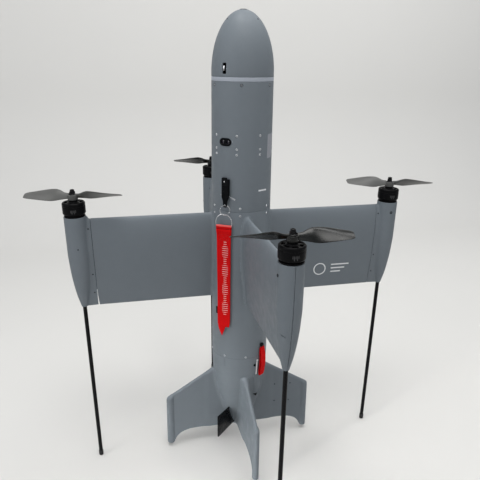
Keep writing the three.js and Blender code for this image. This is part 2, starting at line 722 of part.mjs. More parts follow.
// The arming plug: a flat grip with a key behind it and a tapering tail with an eye.
function armingPlug() {
  const half = PLUG_WIDTH / 2;
  const grip = alongX(polygon([
    [-half, PLUG_SHOULDER], [half, PLUG_SHOULDER], [half, PLUG_TOP], [-half, PLUG_TOP],
  ]), BODY_RADIUS + 0.6, PLUG_OUTER_REACH);
  const edge = STRAP_HALF_WIDTH;
  const tail = alongX(polygon([
    [-edge, PLUG_TIP + 2.5], [-edge + 2.5, PLUG_TIP], [edge - 2.5, PLUG_TIP], [edge, PLUG_TIP + 2.5],
    [edge, EYE_HEIGHT + 5], [half, PLUG_SHOULDER + 1], [-half, PLUG_SHOULDER + 1], [-edge, EYE_HEIGHT + 5],
  ]), PLUG_OUTER_REACH - STRAP_THICKNESS, PLUG_OUTER_REACH);
  const halfKey = KEY_WIDTH / 2;
  const key = block([WALL_INSIDE, -halfKey, KEY_BOTTOM], [BODY_RADIUS + 1, halfKey, KEY_TOP]);
  const eye = rod(EYE_RADIUS, BODY_RADIUS, PLUG_OUTER_REACH + 5, 12).rotateY(Math.PI / 2);
  return toBearing(cut(join(grip, tail, key), eye.translate(0, 0, EYE_HEIGHT)), PLUG_BEARING);
}

const EYE_REACH = PLUG_OUTER_REACH - STRAP_THICKNESS / 2;
const EYE_PLACE = new THREE.Vector3(EYE_REACH * Math.cos(PLUG_BEARING * DEG),
  EYE_REACH * Math.sin(PLUG_BEARING * DEG), 0);
const LINK_CENTRE = EYE_HEIGHT - 1 - LINK_RADIUS;
const SPLIT_CENTRE = LINK_CENTRE - LINK_RADIUS + RING_OVERLAP - SPLIT_RADIUS;

// Places a hanging piece, built facing +X, below the eye of the plug.
function hang(geometry) {
  return toBearing(geometry, CHAIN_BEARING).translate(EYE_PLACE.x, EYE_PLACE.y, 0);
}

function linkRing() {
  const ring = wireRing(LINK_RADIUS, LINK_WIRE, 20, 6).rotateZ(LINK_TURN * DEG);
  return hang(ring.translate(0, 0, LINK_CENTRE));
}

function splitRing() {
  const ring = wireRing(SPLIT_RADIUS, SPLIT_WIRE, 28, 6).rotateZ(90 * DEG);
  return hang(ring.translate(0, SPLIT_SIDESTEP, SPLIT_CENTRE));
}

// Red webbing, folded over the split ring and sewn together below it.
function armingRibbon() {
  const [flat, loop] = [RIBBON_HALF_THICKNESS, LOOP_HALF_DEPTH];
  const shoulder = RIBBON_TOP - 1.5;
  const outline = polygon([
    [-flat, RIBBON_BOTTOM], [flat, RIBBON_BOTTOM], [flat, LOOP_BOTTOM - 6], [loop, LOOP_BOTTOM],
    [loop, shoulder], [loop - 1.3, RIBBON_TOP], [1.3 - loop, RIBBON_TOP], [-loop, shoulder],
    [-loop, LOOP_BOTTOM], [-flat, LOOP_BOTTOM - 6],
  ]);
  const [inside, low, high] = [loop - 1.2, LOOP_BOTTOM + 1, RIBBON_TOP - 1.2];
  outline.holes.push(new THREE.Path([
    [-inside, low], [-inside, high], [inside, high], [inside, low],
  ].map(([x, y]) => new THREE.Vector2(x, y))));
  return hang(acrossY(outline, RIBBON_WIDTH).translate(0, SPLIT_SIDESTEP, 0));
}

function tailPin() {
  const head = rod(TAIL_PIN_HEAD_RADIUS, BODY_RADIUS + 0.5, BODY_RADIUS + 6, 12);
  const stem = rod(TAIL_PIN_RADIUS, BODY_RADIUS - 10, BODY_RADIUS + 2, 12);
  const pin = join(head, stem).rotateY(Math.PI / 2).translate(0, 0, TAIL_PIN_HEIGHT);
  return toBearing(pin, TAIL_PIN_BEARING);
}

function tailRibbon() {
  const half = TAIL_RIBBON_WIDTH / 2;
  const top = TAIL_PIN_HEIGHT - TAIL_PIN_HEAD_RADIUS - 0.5;
  const strip = block([BODY_RADIUS + 1.5, -half, TAIL_RIBBON_BOTTOM], [BODY_RADIUS + 3.5, half, top]);
  return toBearing(strip, TAIL_PIN_BEARING);
}

function addFittings(craft) {
  craft.add(
    part('range_sensor', rangeSensor(), BLACK_PLASTIC),
    part('blade_antenna', bladeAntenna(), BLACK_PLASTIC),
    part('arming_plug', armingPlug(), BLACK_PLASTIC),
    part('link_ring', linkRing(), STEEL),
    part('split_ring', splitRing(), STEEL),
    part('arming_ribbon', armingRibbon(), RED_WEBBING),
    part('tail_pin', tailPin(), BLACK_PLASTIC),
    part('tail_ribbon', tailRibbon(), RED_WEBBING));
}

// ---- The drone ------------------------------------------------------------------------

function buildDrone() {
  const craft = new THREE.Group();
  addFuselage(craft);
  addSpars(craft);
  ARMS.forEach((arm) => addArm(craft, arm));
  addEquipment(craft);
  addFittings(craft);
  return craft;
}

export default buildDrone();
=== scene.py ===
import json
import math

import bmesh
import bpy
import numpy as np
from mathutils import Matrix, Vector


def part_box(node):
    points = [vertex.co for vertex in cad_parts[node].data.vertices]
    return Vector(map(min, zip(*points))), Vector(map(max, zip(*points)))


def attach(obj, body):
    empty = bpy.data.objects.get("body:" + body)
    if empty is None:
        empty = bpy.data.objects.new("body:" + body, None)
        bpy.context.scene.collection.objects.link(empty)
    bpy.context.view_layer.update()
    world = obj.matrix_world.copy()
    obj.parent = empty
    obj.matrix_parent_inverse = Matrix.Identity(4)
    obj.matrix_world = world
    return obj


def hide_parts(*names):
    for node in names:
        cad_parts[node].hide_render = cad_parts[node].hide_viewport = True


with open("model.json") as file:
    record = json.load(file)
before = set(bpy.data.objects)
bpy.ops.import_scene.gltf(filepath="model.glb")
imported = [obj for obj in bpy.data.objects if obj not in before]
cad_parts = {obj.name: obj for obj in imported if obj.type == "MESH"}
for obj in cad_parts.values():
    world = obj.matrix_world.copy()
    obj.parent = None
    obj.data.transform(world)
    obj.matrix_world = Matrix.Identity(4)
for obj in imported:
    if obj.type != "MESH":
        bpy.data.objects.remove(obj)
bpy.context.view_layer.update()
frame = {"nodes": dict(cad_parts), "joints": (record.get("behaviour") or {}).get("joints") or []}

# Shapes are worked out in millimetres and put into the scene in metres. Bearings are degrees
# round the fuselage, from +X towards +Y. An arm is built along +X and turned to its bearing.
MM = 0.001
SEAM_GAP = 0.15


def low(node):
    return np.array(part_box(node)[0]) / MM


def high(node):
    return np.array(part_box(node)[1]) / MM


def joint(name):
    return next(j for j in frame["joints"] if j["name"] == name)


SIDES = {"right": 0, "back": 90, "left": 180, "front": 270}

# Fuselage
BODY_RADIUS = high("front_fuselage")[0]
BODY_WALL = 2.4
INNER_RADIUS = BODY_RADIUS - BODY_WALL
BODY_SIDES = 128
TAIL_BOTTOM = low("tail_cone")[2]
TAIL_SEAM = high("tail_cone")[2]
MIDDLE_SEAM = (high("centre_fuselage")[2] + low("front_fuselage")[2]) / 2
BAND_TOP = low("nose_cone")[2]
BAND_BOTTOM = high("front_fuselage")[2]
NOSE_SHOULDER = BAND_TOP + 8
NOSE_TOP = 994.4

# Wings
WING_TOP = high("wing_right")[2]
WING_CHORD = WING_TOP - low("wing_right")[2]
WING_THICKNESS = high("wing_right")[1] - low("wing_right")[1]
TRAILING_EDGE_HALF = 0.7

# Nacelles: an axis that leans outwards, taken from the rotor's own axis
SPIN = joint("rotor_right_spin")
LEAN = math.atan2(SPIN["axis"][0], SPIN["axis"][2])
ROTOR_HEIGHT = SPIN["pos_m"][2] / MM
LEG_REACH = SPIN["pos_m"][0] / MM - ROTOR_HEIGHT * math.tan(LEAN)
TIP_JOINT = -29.5
TIP_GAP = 0.45
SPLIT_GROOVE = 0.5
POD_TOP = 588
POD_BOTTOM = 386.5
POD_RADIUS = 22.7
LEG_RADIUS = 4.3
LEG_TOP = 438
FOOT_HEIGHT = 14

# Motors and propellers, by height along the nacelle axis
MOTOR_RADIUS = 23.3
BELL_BOTTOM = 593
BELL_TOP = 619
HUB_BOTTOM = 623.5
HUB_TOP = 634
NUT_TOP = 644.5
BLADE_HEIGHT = 631
PROPELLER_RADIUS = 101.6
PROPELLER_PITCH = 228
VIEW_SIDE = -104
BLADE_BEARINGS = {"right": -6, "back": -13, "left": -15, "front": -9}

# Tail fins
FIN_HALF = 4.5
RIB_REACH = 167
RIB_HALF_WIDTH = 9
RIB_HALF_DEPTH = 7

# Fittings
SENSOR_BEARING = -135
SENSOR_HEIGHT = (low("range_sensor")[2] + high("range_sensor")[2]) / 2
PLUG_BEARING = -132
PLUG_REACH = 70.4
PLUG_TOP = high("arming_plug")[2]
PLUG_OUT = PLUG_REACH - BODY_RADIUS
PLUG_KEY_HEIGHT = 647
PLUG_SHOULDER = 625
PLUG_TIP = low("arming_plug")[2]
EYE_HEIGHT = 609.9
CHAIN_BEARING = -122
LINK_RADIUS = 10.5
LINK_TURN = 114
LINK_CENTRE = (low("link_ring")[2] + high("link_ring")[2]) / 2
SPLIT_RADIUS = 18
SPLIT_SIDESTEP = -2.5
SPLIT_CENTRE = (low("split_ring")[2] + high("split_ring")[2]) / 2
WEBBING_THICKNESS = 1.1
RIBBON_HALF = 15.5
RIBBON_TOP = high("arming_ribbon")[2]
RIBBON_BOTTOM = low("arming_ribbon")[2]
ANTENNA_BEARING = -135
TAIL_PIN_BEARING = -53
TAIL_PIN_HEIGHT = 277
TAIL_RIBBON_BOTTOM = low("tail_ribbon")[2]
OUTLET_BEARING = -58
OUTLET_HEIGHT = 141


# ---- Placing ----

def turn(degrees, axis="Z"):
    return Matrix.Rotation(math.radians(degrees), 4, axis)


def shift(x=0, y=0, z=0):
    return Matrix.Translation((x, y, z))


def on_body(bearing, height, radius=BODY_RADIUS):
    """A place on the fuselage wall: local X runs round it, local Y up it and local Z outwards."""
    stand = Matrix(((0, 0, 1, 0), (1, 0, 0, 0), (0, 1, 0, 0), (0, 0, 0, 1)))
    return turn(bearing) @ shift(radius, 0, height) @ stand


def on_face(x, y, z, side=1):
    """A place on a face that looks along +Y or -Y: local Z points out of the face."""
    return shift(x, y, z) @ turn(-90 * side, "X")


NACELLE = shift(LEG_REACH) @ Matrix.Rotation(LEAN, 4, "Y")
EYE = turn(PLUG_BEARING) @ shift(PLUG_REACH - 0.6)
HANG = shift(EYE.translation.x, EYE.translation.y) @ turn(CHAIN_BEARING)


# ---- Shapes: a pair of points and faces ----

def spline(points, steps=8):
    """A smooth curve through its points."""
    p = np.array(points, float)
    p = np.vstack([p[:1], p, p[-1:]])
    curve = []
    for k in range(1, len(p) - 2):
        start, end = (p[k + 1] - p[k - 1]) / 2, (p[k + 2] - p[k]) / 2
        cubic = 2 * (p[k] - p[k + 1]) + start + end
        square = 3 * (p[k + 1] - p[k]) - 2 * start - end
        for t in np.arange(steps) / steps:
            curve.append(cubic * t ** 3 + square * t ** 2 + start * t + p[k])
    curve.append(p[-2])
    return np.array(curve)


def rounded(outline, steps=4):
    """Rounds each corner of a closed outline that has a radius as its third number."""
    made = []
    for k, corner in enumerate(outline):
        point = np.array(corner[:2], float)
        if len(corner) < 3:
            made.append(point)
            continue
        before = np.array(outline[k - 1][:2], float) - point
        after = np.array(outline[(k + 1) % len(outline)][:2], float) - point
        start = point + before / np.linalg.norm(before) * corner[2]
        end = point + after / np.linalg.norm(after) * corner[2]
        for t in np.linspace(0, 1, steps + 1):
            made.append((1 - t) ** 2 * start + 2 * t * (1 - t) * point + t ** 2 * end)
    return np.array(made)


def loft(rings, loop=False):
    """A skin over closed rings of points, with its ends closed unless it runs into itself."""
    rings = np.asarray(rings, float)
    count, size = rings.shape[:2]
    faces = []
    for k in range(count if loop else count - 1):
        near, far = k * size, (k + 1) % count * size
        for i in range(size):
            j = (i + 1) % size
            faces.append((near + i, near + j, far + j, far + i))
    if not loop:
        faces.append(tuple(range(size - 1, -1, -1)))
        faces.append(tuple(range((count - 1) * size, count * size)))
    return rings.reshape(-1, 3), faces


def full_turn(sides):
    return np.arange(sides) * 2 * math.pi / sides


def arc(radius, angles, x=0, y=0):
    return [(x + radius * math.cos(a), y + radius * math.sin(a)) for a in angles]


def turned(outline, sides=48):
    """A body of revolution about Z from [radius, height] or [radius, height, rounding] points."""
    outline = rounded(outline)
    return loft([[(r * math.cos(a), r * math.sin(a), z) for r, z in outline] for a in full_turn(sides)],
                loop=True)


def prism(outline, start, end):
    """A flat outline in X and Y, between two heights."""
    outline = rounded(outline)
    return loft([[(x, y, z) for x, y in outline] for z in (start, end)])


def block(start, end):
    (x0, y0, z0), (x1, y1, z1) = start, end
    return prism([(x0, y0), (x1, y0), (x1, y1), (x0, y1)], z0, z1)


def rectangle(half_x, half_y, rounding):
    return [(x * half_x, y * half_y, rounding) for x, y in ((-1, -1), (1, -1), (1, 1), (-1, 1))]


def stadium(width, height, steps=12):
    """An outline with half-round ends."""
    radius, half = height / 2, (width - height) / 2
    right = arc(radius, np.linspace(-math.pi / 2, math.pi / 2, steps), half)
    return right + [(-x, -y) for x, y in right]


def circle(radius, sides=24):
    return arc(radius, full_turn(sides))


def swept(path, outline, across=(0, 1, 0)):
    """An outline carried along a path; its X stays along one direction, its Y is the normal."""
    path, side = np.array(path, float), np.array(across, float)
    rings = []
    for k, point in enumerate(path):
        along = path[min(k + 1, len(path) - 1)] - path[max(k - 1, 0)]
        normal = np.cross(along, side)
        normal /= np.linalg.norm(normal)
        flat = np.cross(normal, along)
        flat /= np.linalg.norm(flat)
        rings.append([point + x * flat + y * normal for x, y in outline])
    return loft(rings)


def moved(shape, matrix):
    points, faces = shape
    m = np.array(matrix)
    return points @ m[:3, :3].T + m[:3, 3], faces


def merged(*shapes):
    points, faces, count = [], [], 0
    for more_points, more_faces in shapes:
        points.append(more_points)
        faces += [tuple(i + count for i in face) for face in more_faces]
        count += len(more_points)
    return np.vstack(points), faces


def repeated(shape, places):
    return merged(*[moved(shape, place) for place in places])


def clean_mesh(name, shape, scale=1.0, bevel=0.0, bevel_angle=35, segments=2):
    """One tidy mesh: shared points, no empty faces, faces outwards, sharp edges rounded."""
    points, faces = shape
    mesh = bpy.data.meshes.new(name)
    mesh.from_pydata((points * scale).tolist(), [], faces)
    work = bmesh.new()
    work.from_mesh(mesh)
    bmesh.ops.remove_doubles(work, verts=work.verts, dist=2e-3 * scale)
    bmesh.ops.dissolve_degenerate(work, edges=work.edges, dist=1e-3 * scale)
    bmesh.ops.recalc_face_normals(work, faces=work.faces)
    if work.calc_volume(signed=True) < 0:
        bmesh.ops.reverse_faces(work, faces=work.faces)
    if bevel:
        limit = math.radians(bevel_angle)
        sharp = [e for e in work.edges if len(e.link_faces) == 2 and e.calc_face_angle() > limit]
        bmesh.ops.bevel(work, geom=sharp, offset=bevel * scale, segments=segments, profile=0.5,
                        affect="EDGES", clamp_overlap=True)
    work.to_mesh(mesh)
    work.free()
    return mesh


def boolean(shape, operation, *others):
    """Cuts a closed shape with others ("DIFFERENCE") or joins them to it ("UNION")."""
    made = [bpy.data.objects.new("work", clean_mesh("work", s)) for s in (shape, *others)]
    for thing in made:
        bpy.context.scene.collection.objects.link(thing)
    for tool in made[1:]:
        step = made[0].modifiers.new("step", "BOOLEAN")
        step.operation, step.object, step.solver = operation, tool, "EXACT"
    graph = bpy.context.evaluated_depsgraph_get()
    result = bpy.data.meshes.new_from_object(made[0].evaluated_get(graph))
    points = np.array([v.co for v in result.vertices], float).reshape(-1, 3)
    faces = [tuple(p.vertices) for p in result.polygons]
    for thing in made:
        mesh = thing.data
        bpy.data.objects.remove(thing)
        bpy.data.meshes.remove(mesh)
    bpy.data.meshes.remove(result)
    return points, faces


def cut(shape, *others):
    return boolean(shape, "DIFFERENCE", *others)


def joined(shape, *others):
    return boolean(shape, "UNION", *others)


def add_to_scene(name, data):
    made = bpy.data.objects.new(name, data)
    bpy.context.scene.collection.objects.link(made)
    return made


def piece(name, shape, look, place=None, replaces=None, body="airframe", smooth=32, **edges):
    """One visible piece. It is built at its own origin, which place then puts in the frame."""
    mesh = clean_mesh(name, shape, MM, **edges)
    mesh.shade_smooth()
    mesh.set_sharp_from_angle(angle=math.radians(smooth))
    mesh.materials.append(look)
    made = add_to_scene(name, mesh)
    if place is not None:
        where = place.copy()
        where.translation *= MM
        made.matrix_world = where
    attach(made, body)
    if replaces:
        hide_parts(replaces)


def shade(tone, factor, lift=0.0, top=math.inf):
    return tuple(min(top, c * factor + lift) for c in tone)


# ---- Looks ----

class Look:
    """A node material that starts as one Principled shader with object coordinates."""

    def __init__(self, name, metallic=0.0, **values):
        self.material = bpy.data.materials.new(name)
        self.material.use_nodes = True
        self.tree = self.material.node_tree
        self.shader = self.tree.nodes["Principled BSDF"]
        self.shader.inputs["Metallic"].default_value = metallic
        for key, value in values.items():
            self.shader.inputs[key.replace("_", " ")].default_value = value
        self.place = self.node("TexCoord").outputs["Object"]

    def node(self, kind, inputs=None, **settings):
        made = self.tree.nodes.new("ShaderNode" + kind)
        for key, value in settings.items():
            setattr(made, key, value)
        for key, value in (inputs or {}).items():
            if isinstance(value, bpy.types.NodeSocket):
                self.tree.links.new(value, made.inputs[key])
            else:
                made.inputs[key].default_value = value
        return made

    def maths(self, operation, a, b=0.0):
        return self.node("Math", {0: a, 1: b}, operation=operation).outputs[0]

    def product(self, *factors):
        total = factors[0]
        for factor in factors[1:]:
            total = self.maths("MULTIPLY", total, factor)
        return total

    def wave(self, value, pitch):
        """A sine that repeats every pitch."""
        return self.maths("SINE", self.product(value, 2 * math.pi / pitch))

    def apart(self, value, centre):
        return self.maths("ABSOLUTE", self.maths("SUBTRACT", value, centre))

    def noise(self, scale, detail=3.0, stretch=(1, 1, 1)):
        where = self.node("Mapping", {"Vector": self.place, "Scale": stretch}).outputs[0]
        return self.node("TexNoise", {"Vector": where, "Scale": scale, "Detail": detail}).outputs[0]

    def span(self, value, low_in, high_in, low_out=0.0, high_out=1.0):
        inputs = {0: value, 1: low_in, 2: high_in, 3: low_out, 4: high_out}
        return self.node("MapRange", inputs, interpolation_type="SMOOTHSTEP").outputs[0]

    def patches(self, scale, detail, low_out, high_out):
        """Soft blotches of noise between two values."""
        return self.span(self.noise(scale, detail), 0.3, 0.7, low_out, high_out)

    def mix(self, share, a, b):
        a, b = [(*c, 1) if isinstance(c, tuple) and len(c) == 3 else c for c in (a, b)]
        return self.node("Mix", {0: share, 6: a, 7: b}, data_type="RGBA").outputs[2]

    def edges(self, radius):
        """1 on edges that a finger would rub, 0 on flat ground."""
        soft = self.node("Bevel", {"Radius": radius * MM}, samples=4).outputs[0]
        flat = self.node("NewGeometry").outputs["Normal"]
        dot = self.node("VectorMath", {0: soft, 1: flat}, operation="DOT_PRODUCT").outputs["Value"]
        return self.span(dot, 0.99, 0.8)

    def rubbed(self, ground, worn, radius, patch):
        """The ground, with the worn tone in patches along its edges."""
        scale, detail, low_in, high_in, most = patch
        rim = self.edges(radius)
        where = self.span(self.noise(scale, detail), low_in, high_in, 0, most)
        return self.mix(self.product(rim, where), ground, worn)

    def set(self, color, roughness=None, bumps=()):
        """Links the results up. A bump is a height pattern and its depth in millimetres."""
        links = self.tree.links
        links.new(color, self.shader.inputs["Base Color"])
        if roughness is not None:
            links.new(roughness, self.shader.inputs["Roughness"])
        normal = None
        for height, depth in bumps:
            inputs = {"Height": height, "Distance": depth * MM, "Strength": 1.0}
            if normal is not None:
                inputs["Normal"] = normal
            normal = self.node("Bump", inputs).outputs[0]
        if normal is not None:
            links.new(normal, self.shader.inputs["Normal"])
        return self.material

    def axes(self):
        """The piece's own X, Y and Z in millimetres."""
        parts = self.node("SeparateXYZ", {0: self.place}).outputs
        return [self.product(part, 1 / MM) for part in parts]


def paint_look(name, tone):
    """Matte paint over a slightly grainy moulded shell, with faint stains and rubbed edges."""
    look = Look(name, Specular_IOR_Level=0.35)
    ground = look.mix(look.noise(9, 4), shade(tone, 0.93), shade(tone, 1.06))
    speck = look.span(look.noise(700, 2), 0.62, 0.74, 0, 0.25)
    ground = look.mix(speck, ground, shade(tone, 1.35))
    streak = look.span(look.noise(22, 5, (1, 1, 0.12)), 0.56, 0.75, 0, 0.07)
    ground = look.mix(streak, ground, shade(tone, 0.8))
    ground = look.rubbed(ground, shade(tone, 1.9), 0.9, (160, 4, 0.4, 0.62, 0.55))
    rough = look.patches(60, 4, 0.5, 0.66)
    return look.set(ground, rough, [(look.noise(1500, 2), 0.02), (look.noise(240, 3), 0.008)])


def carbon_look(name, radius):
    """Twill carbon cloth wrapped round a tube under satin resin."""
    look = Look(name, Specular_IOR_Level=0.08, Coat_Weight=0.02, Coat_Roughness=0.3)
    tow, repeat = 1.6, 4
    x, y, height = look.axes()
    angle = look.maths("ARCTAN2", y, x)
    tows_around = round(2 * math.pi * radius / tow / repeat) * repeat
    u = look.product(angle, tows_around / (2 * math.pi))
    v = look.maths("DIVIDE", height, tow)
    step = look.maths("ADD", look.maths("FLOOR", u), look.maths("FLOOR", v))
    over = look.maths("LESS_THAN", look.maths("FLOORED_MODULO", step, repeat), repeat / 2)
    ground = look.mix(over, (0.0025, 0.0025, 0.003), (0.007, 0.007, 0.008))
    crown = [look.maths("ABSOLUTE", look.wave(w, 2)) for w in (u, v)]
    tows = look.mix(over, *crown)
    rough = look.patches(90, 3, 0.32, 0.48)
    return look.set(ground, rough, [(tows, 0.06), (look.noise(800, 2), 0.01)])


def plastic_look(name, tone, roughness=0.45, grain=0.03, shine=0.45):
    """Moulded plastic with a spark-eroded grain and dull rubbed edges."""
    look = Look(name, Specular_IOR_Level=shine)
    ground = look.mix(look.noise(30, 4), shade(tone, 0.85), shade(tone, 1.2))
    ground = look.rubbed(ground, shade(tone, 2, 0.003), 0.6, (300, 3, 0.4, 0.65, 0.5))
    rough = look.patches(120, 3, roughness - 0.07, roughness + 0.1)
    return look.set(ground, rough, [(look.noise(1100, 2), grain)])


def blade_look(name, tone, shine, roughness):
    """Glass-filled nylon propeller, with faint flow marks along the blades."""
    look = Look(name, Specular_IOR_Level=shine)
    flow = look.noise(35, 5, (1, 1, 3))
    ground = look.mix(flow, shade(tone, 0.8), shade(tone, 1.2))
    ground = look.mix(look.product(look.edges(0.5), 0.35), ground, shade(tone, 1.5, 0.004))
    rough = look.span(flow, 0.3, 0.7, roughness, roughness + 0.12)
    return look.set(ground, rough, [(flow, 0.02), (look.noise(900, 2), 0.01)])


def metal_look(name, tone, roughness, rings=0.0, metallic=1.0, shine=0.5):
    """Machined or drawn metal: fine turning rings about its own axis, small scratches."""
    look = Look(name, metallic, Specular_IOR_Level=shine)
    scratch = look.noise(260, 5, (1, 1, 9))
    ground = look.mix(scratch, shade(tone, 0.8), shade(tone, 1.15))
    ground = look.rubbed(ground, shade(tone, 2, 0.03, 1), 0.5, (400, 3, 0.35, 0.6, 0.7))
    rough = look.span(scratch, 0.3, 0.75, roughness - 0.06, roughness + 0.12)
    ring_pitch = 0.4
    lathe = look.wave(look.axes()[2], ring_pitch)
    return look.set(ground, rough, [(lathe, rings), (scratch, 0.012)])


def rubber_look():
    look = Look("foot_rubber", Specular_IOR_Level=0.3)
    dust = look.span(look.noise(200, 5), 0.45, 0.7, 0, 0.4)
    ground = look.mix(dust, (0.014, 0.014, 0.015), (0.05, 0.048, 0.045))
    return look.set(ground, look.span(dust, 0, 1, 0.7, 0.9), [(look.noise(900, 3), 0.08)])


def webbing_look(name, marks=None):
    """Woven nylon webbing. marks adds a painted highlight along the folded top, its seam and a column of
    plain woven bars.
    """
    look = Look(name, Specular_IOR_Level=0.12)
    warp_pitch, weft_pitch = 0.9, 1.3
    _, y, z = look.axes()
    warp = look.wave(y, warp_pitch)
    row = look.product(z, 2 * math.pi / weft_pitch)
    weft = look.maths("SINE", look.maths("ADD", row, look.product(warp, 1.2)))
    weave = look.maths("ADD", look.product(warp, 0.5), weft)
    ground = look.mix(look.span(weave, -1.4, 1.4), (0.5, 0.0006, 0.0012), (0.8, 0.002, 0.004))
    ground = look.mix(look.patches(45, 3, 0, 0.6), ground, (0.62, 0.001, 0.002))
    if marks:
        ground = with_bars(look, ground, weave, y, z, *marks)
    return look.set(ground, look.span(weave, -1, 1, 0.9, 0.7), [(weave, 0.14)])


def with_bars(look, ground, weave, y, z, centre, half, bottom, top):
    """Adds the painted highlight on the folded top, the seam line and the bars. The bars are half as long
    in every second group.
    """
    bar_pitch, group_pitch = 4.8, 43.2
    fold_highlight, seam = RIBBON_TOP - 3.6, RIBBON_TOP - 8
    length = look.span(look.wave(z, group_pitch), 0.1, 0.2, half, half / 2)
    bars = look.product(look.maths("LESS_THAN", look.apart(y, centre), length),
                        look.maths("GREATER_THAN", look.wave(z, bar_pitch), 0.66),
                        look.maths("GREATER_THAN", z, bottom), look.maths("LESS_THAN", z, top))
    # Painted highlight: pale pink above the fold line stands in for light catching the folded top.
    ground = look.mix(look.span(z, fold_highlight, fold_highlight + 1.4, 0, 0.5), ground, (0.85, 0.22, 0.2))
    ground = look.mix(look.span(look.apart(z, seam), 0.6, 1.0, 0.85, 0), ground, (0.12, 0.0005, 0.001))
    thread = look.product(bars, look.span(weave, -1.3, 0.2, 0.35, 0.85))
    return look.mix(thread, ground, (0.85, 0.72, 0.7))


def glass_look():
    look = Look("lens_glass", Coat_Weight=0.3, Coat_Roughness=0.05, Roughness=0.12)
    tint = look.mix(look.noise(300, 2), (0.004, 0.005, 0.009), (0.02, 0.012, 0.03))
    return look.set(tint, None, [(look.noise(200, 1), 0.01)])


def lamp_look():
    """A milky light window."""
    look = Look("lamp_window", Roughness=0.25, Coat_Weight=0.5)
    milk = look.mix(look.noise(400, 3), (0.78, 0.8, 0.84), (0.92, 0.93, 0.95))
    return look.set(milk, None, [(look.noise(900, 2), 0.01)])


def wire_look(name, dark, light):
    """Stranded or insulated wire and woven sleeves."""
    look = Look(name, Specular_IOR_Level=0.4)
    lay = look.node("TexWave", {"Vector": look.place, "Scale": 600.0, "Distortion": 1.5}).outputs[1]
    ground = look.mix(lay, dark, light)
    return look.set(ground, look.span(lay, 0, 1, 0.5, 0.35), [(lay, 0.05)])


def board_look():
    """Coated circuit board with tracks and pads."""
    look = Look("board", Coat_Weight=0.4, Coat_Roughness=0.2)
    inputs = {"Vector": look.place, "Scale": 180.0}
    cells = look.node("TexVoronoi", inputs, distance="MANHATTAN", feature="F1").outputs[0]
    track = look.span(cells, 0.32, 0.36)
    ground = look.mix(track, (0.012, 0.06, 0.03), (0.03, 0.13, 0.06))
    pad = look.span(cells, 0.09, 0.06)
    ground = look.mix(pad, ground, (0.75, 0.62, 0.3))
    return look.set(ground, look.span(pad, 0, 1, 0.45, 0.25), [(track, 0.05)])


def laminate_look():
    """Flat carbon laminate sheet."""
    look = Look("tray_laminate", Coat_Weight=0.1, Coat_Roughness=0.3)
    inputs = {"Vector": look.place, "Scale": 500.0, "Color1": (0.02, 0.02, 0.022, 1),
              "Color2": (0.045, 0.045, 0.05, 1)}
    check = look.node("TexChecker", inputs)
    return look.set(check.outputs[0], look.patches(90, 3, 0.3, 0.5), [(check.outputs[1], 0.03)])


BODY_TONE = (0.142, 0.164, 0.184)
PAINT = paint_look("body_paint", BODY_TONE)
BAND = paint_look("band_paint", (0.34, 0.37, 0.42))
LABEL = paint_look("label_film", (0.27, 0.28, 0.31))
LEG_CARBON = carbon_look("leg_carbon", LEG_RADIUS)
BLACK = plastic_look("black_plastic", (0.003, 0.0036, 0.0045), 0.42, 0.02, 0.05)
DARK_RIM = plastic_look("dark_rim", (0.008, 0.009, 0.011), 0.4, 0.01, 0.12)
GREY_PLASTIC = plastic_look("grey_plastic", (0.3, 0.31, 0.33))
WHITE_PLASTIC = plastic_look("white_plastic", (0.7, 0.71, 0.72), 0.4)
GREY_BLADES = blade_look("propeller_grey", (0.088, 0.089, 0.086), 0.28, 0.36)
BLACK_BLADES = blade_look("propeller_black", (0.0035, 0.004, 0.0035), 0.36, 0.2)
MOTOR = metal_look("motor_metal", (0.004, 0.004, 0.0045), 0.36, 0.006, 0.0, 0.06)
MARKS = plastic_look("motor_marks", (0.05, 0.05, 0.052), 0.5, 0.01, 0.2)
NUT = metal_look("nut_metal", (0.005, 0.005, 0.006), 0.25, 0.0, 0.0, 0.15)
STEEL = metal_look("ring_steel", (0.72, 0.72, 0.73), 0.16)
SCREW = metal_look("screw_steel", (0.62, 0.63, 0.65), 0.28)
DARK_SCREW = metal_look("dark_screw", (0.02, 0.02, 0.023), 0.4)
COPPER = wire_look("copper_winding", (0.25, 0.07, 0.03), (0.55, 0.2, 0.09))
RUBBER = rubber_look()
GLASS = glass_look()
LAMP = lamp_look()
BATTERY = plastic_look("battery_wrap", (0.016, 0.02, 0.03), 0.3, 0.015)
BOARD = board_look()
TRAY = laminate_look()
RED_WIRE = wire_look("red_wire", (0.3, 0.01, 0.01), (0.55, 0.02, 0.02))
BLACK_WIRE = wire_look("black_wire", (0.01, 0.01, 0.01), (0.03, 0.03, 0.03))
RIBBON_RED = webbing_look("red_webbing", (3.5, 6.5, 358, 530))
TAIL_RED = webbing_look("tail_red_webbing")
RED_THREAD = wire_look("red_thread", (0.25, 0.002, 0.003), (0.5, 0.01, 0.012))
STRAP = wire_look("strap_webbing", (0.012, 0.012, 0.012), (0.035, 0.035, 0.04))
ANTENNA = plastic_look("antenna_skin", (0.003, 0.003, 0.0035), 0.25, 0.005, 0.1)


# ---- Screws ----

def hex_socket(across, depth, top):
    outline = circle(across / math.sqrt(3), 6)
    return prism(outline, top - depth, top + 5)


def button_screw(radius=2.6):
    """A domed head with a hexagon socket."""
    height = radius * 0.5
    head = turned([(0, -1), (radius, -1), (radius, 0.1, 0.1), (radius * 0.85, height * 0.75, 0.5),
                   (radius * 0.45, height), (0, height)], 32)
    return cut(head, hex_socket(radius * 0.85, height * 0.8, height))


def flat_screw(radius):
    """A flat head with a hexagon socket."""
    face = turned([(0, -1), (radius, -1), (radius, 0.2, 0.15), (0, 0.2)], 32)
    return cut(face, hex_socket(radius * 0.9, 0.8, 0.2))


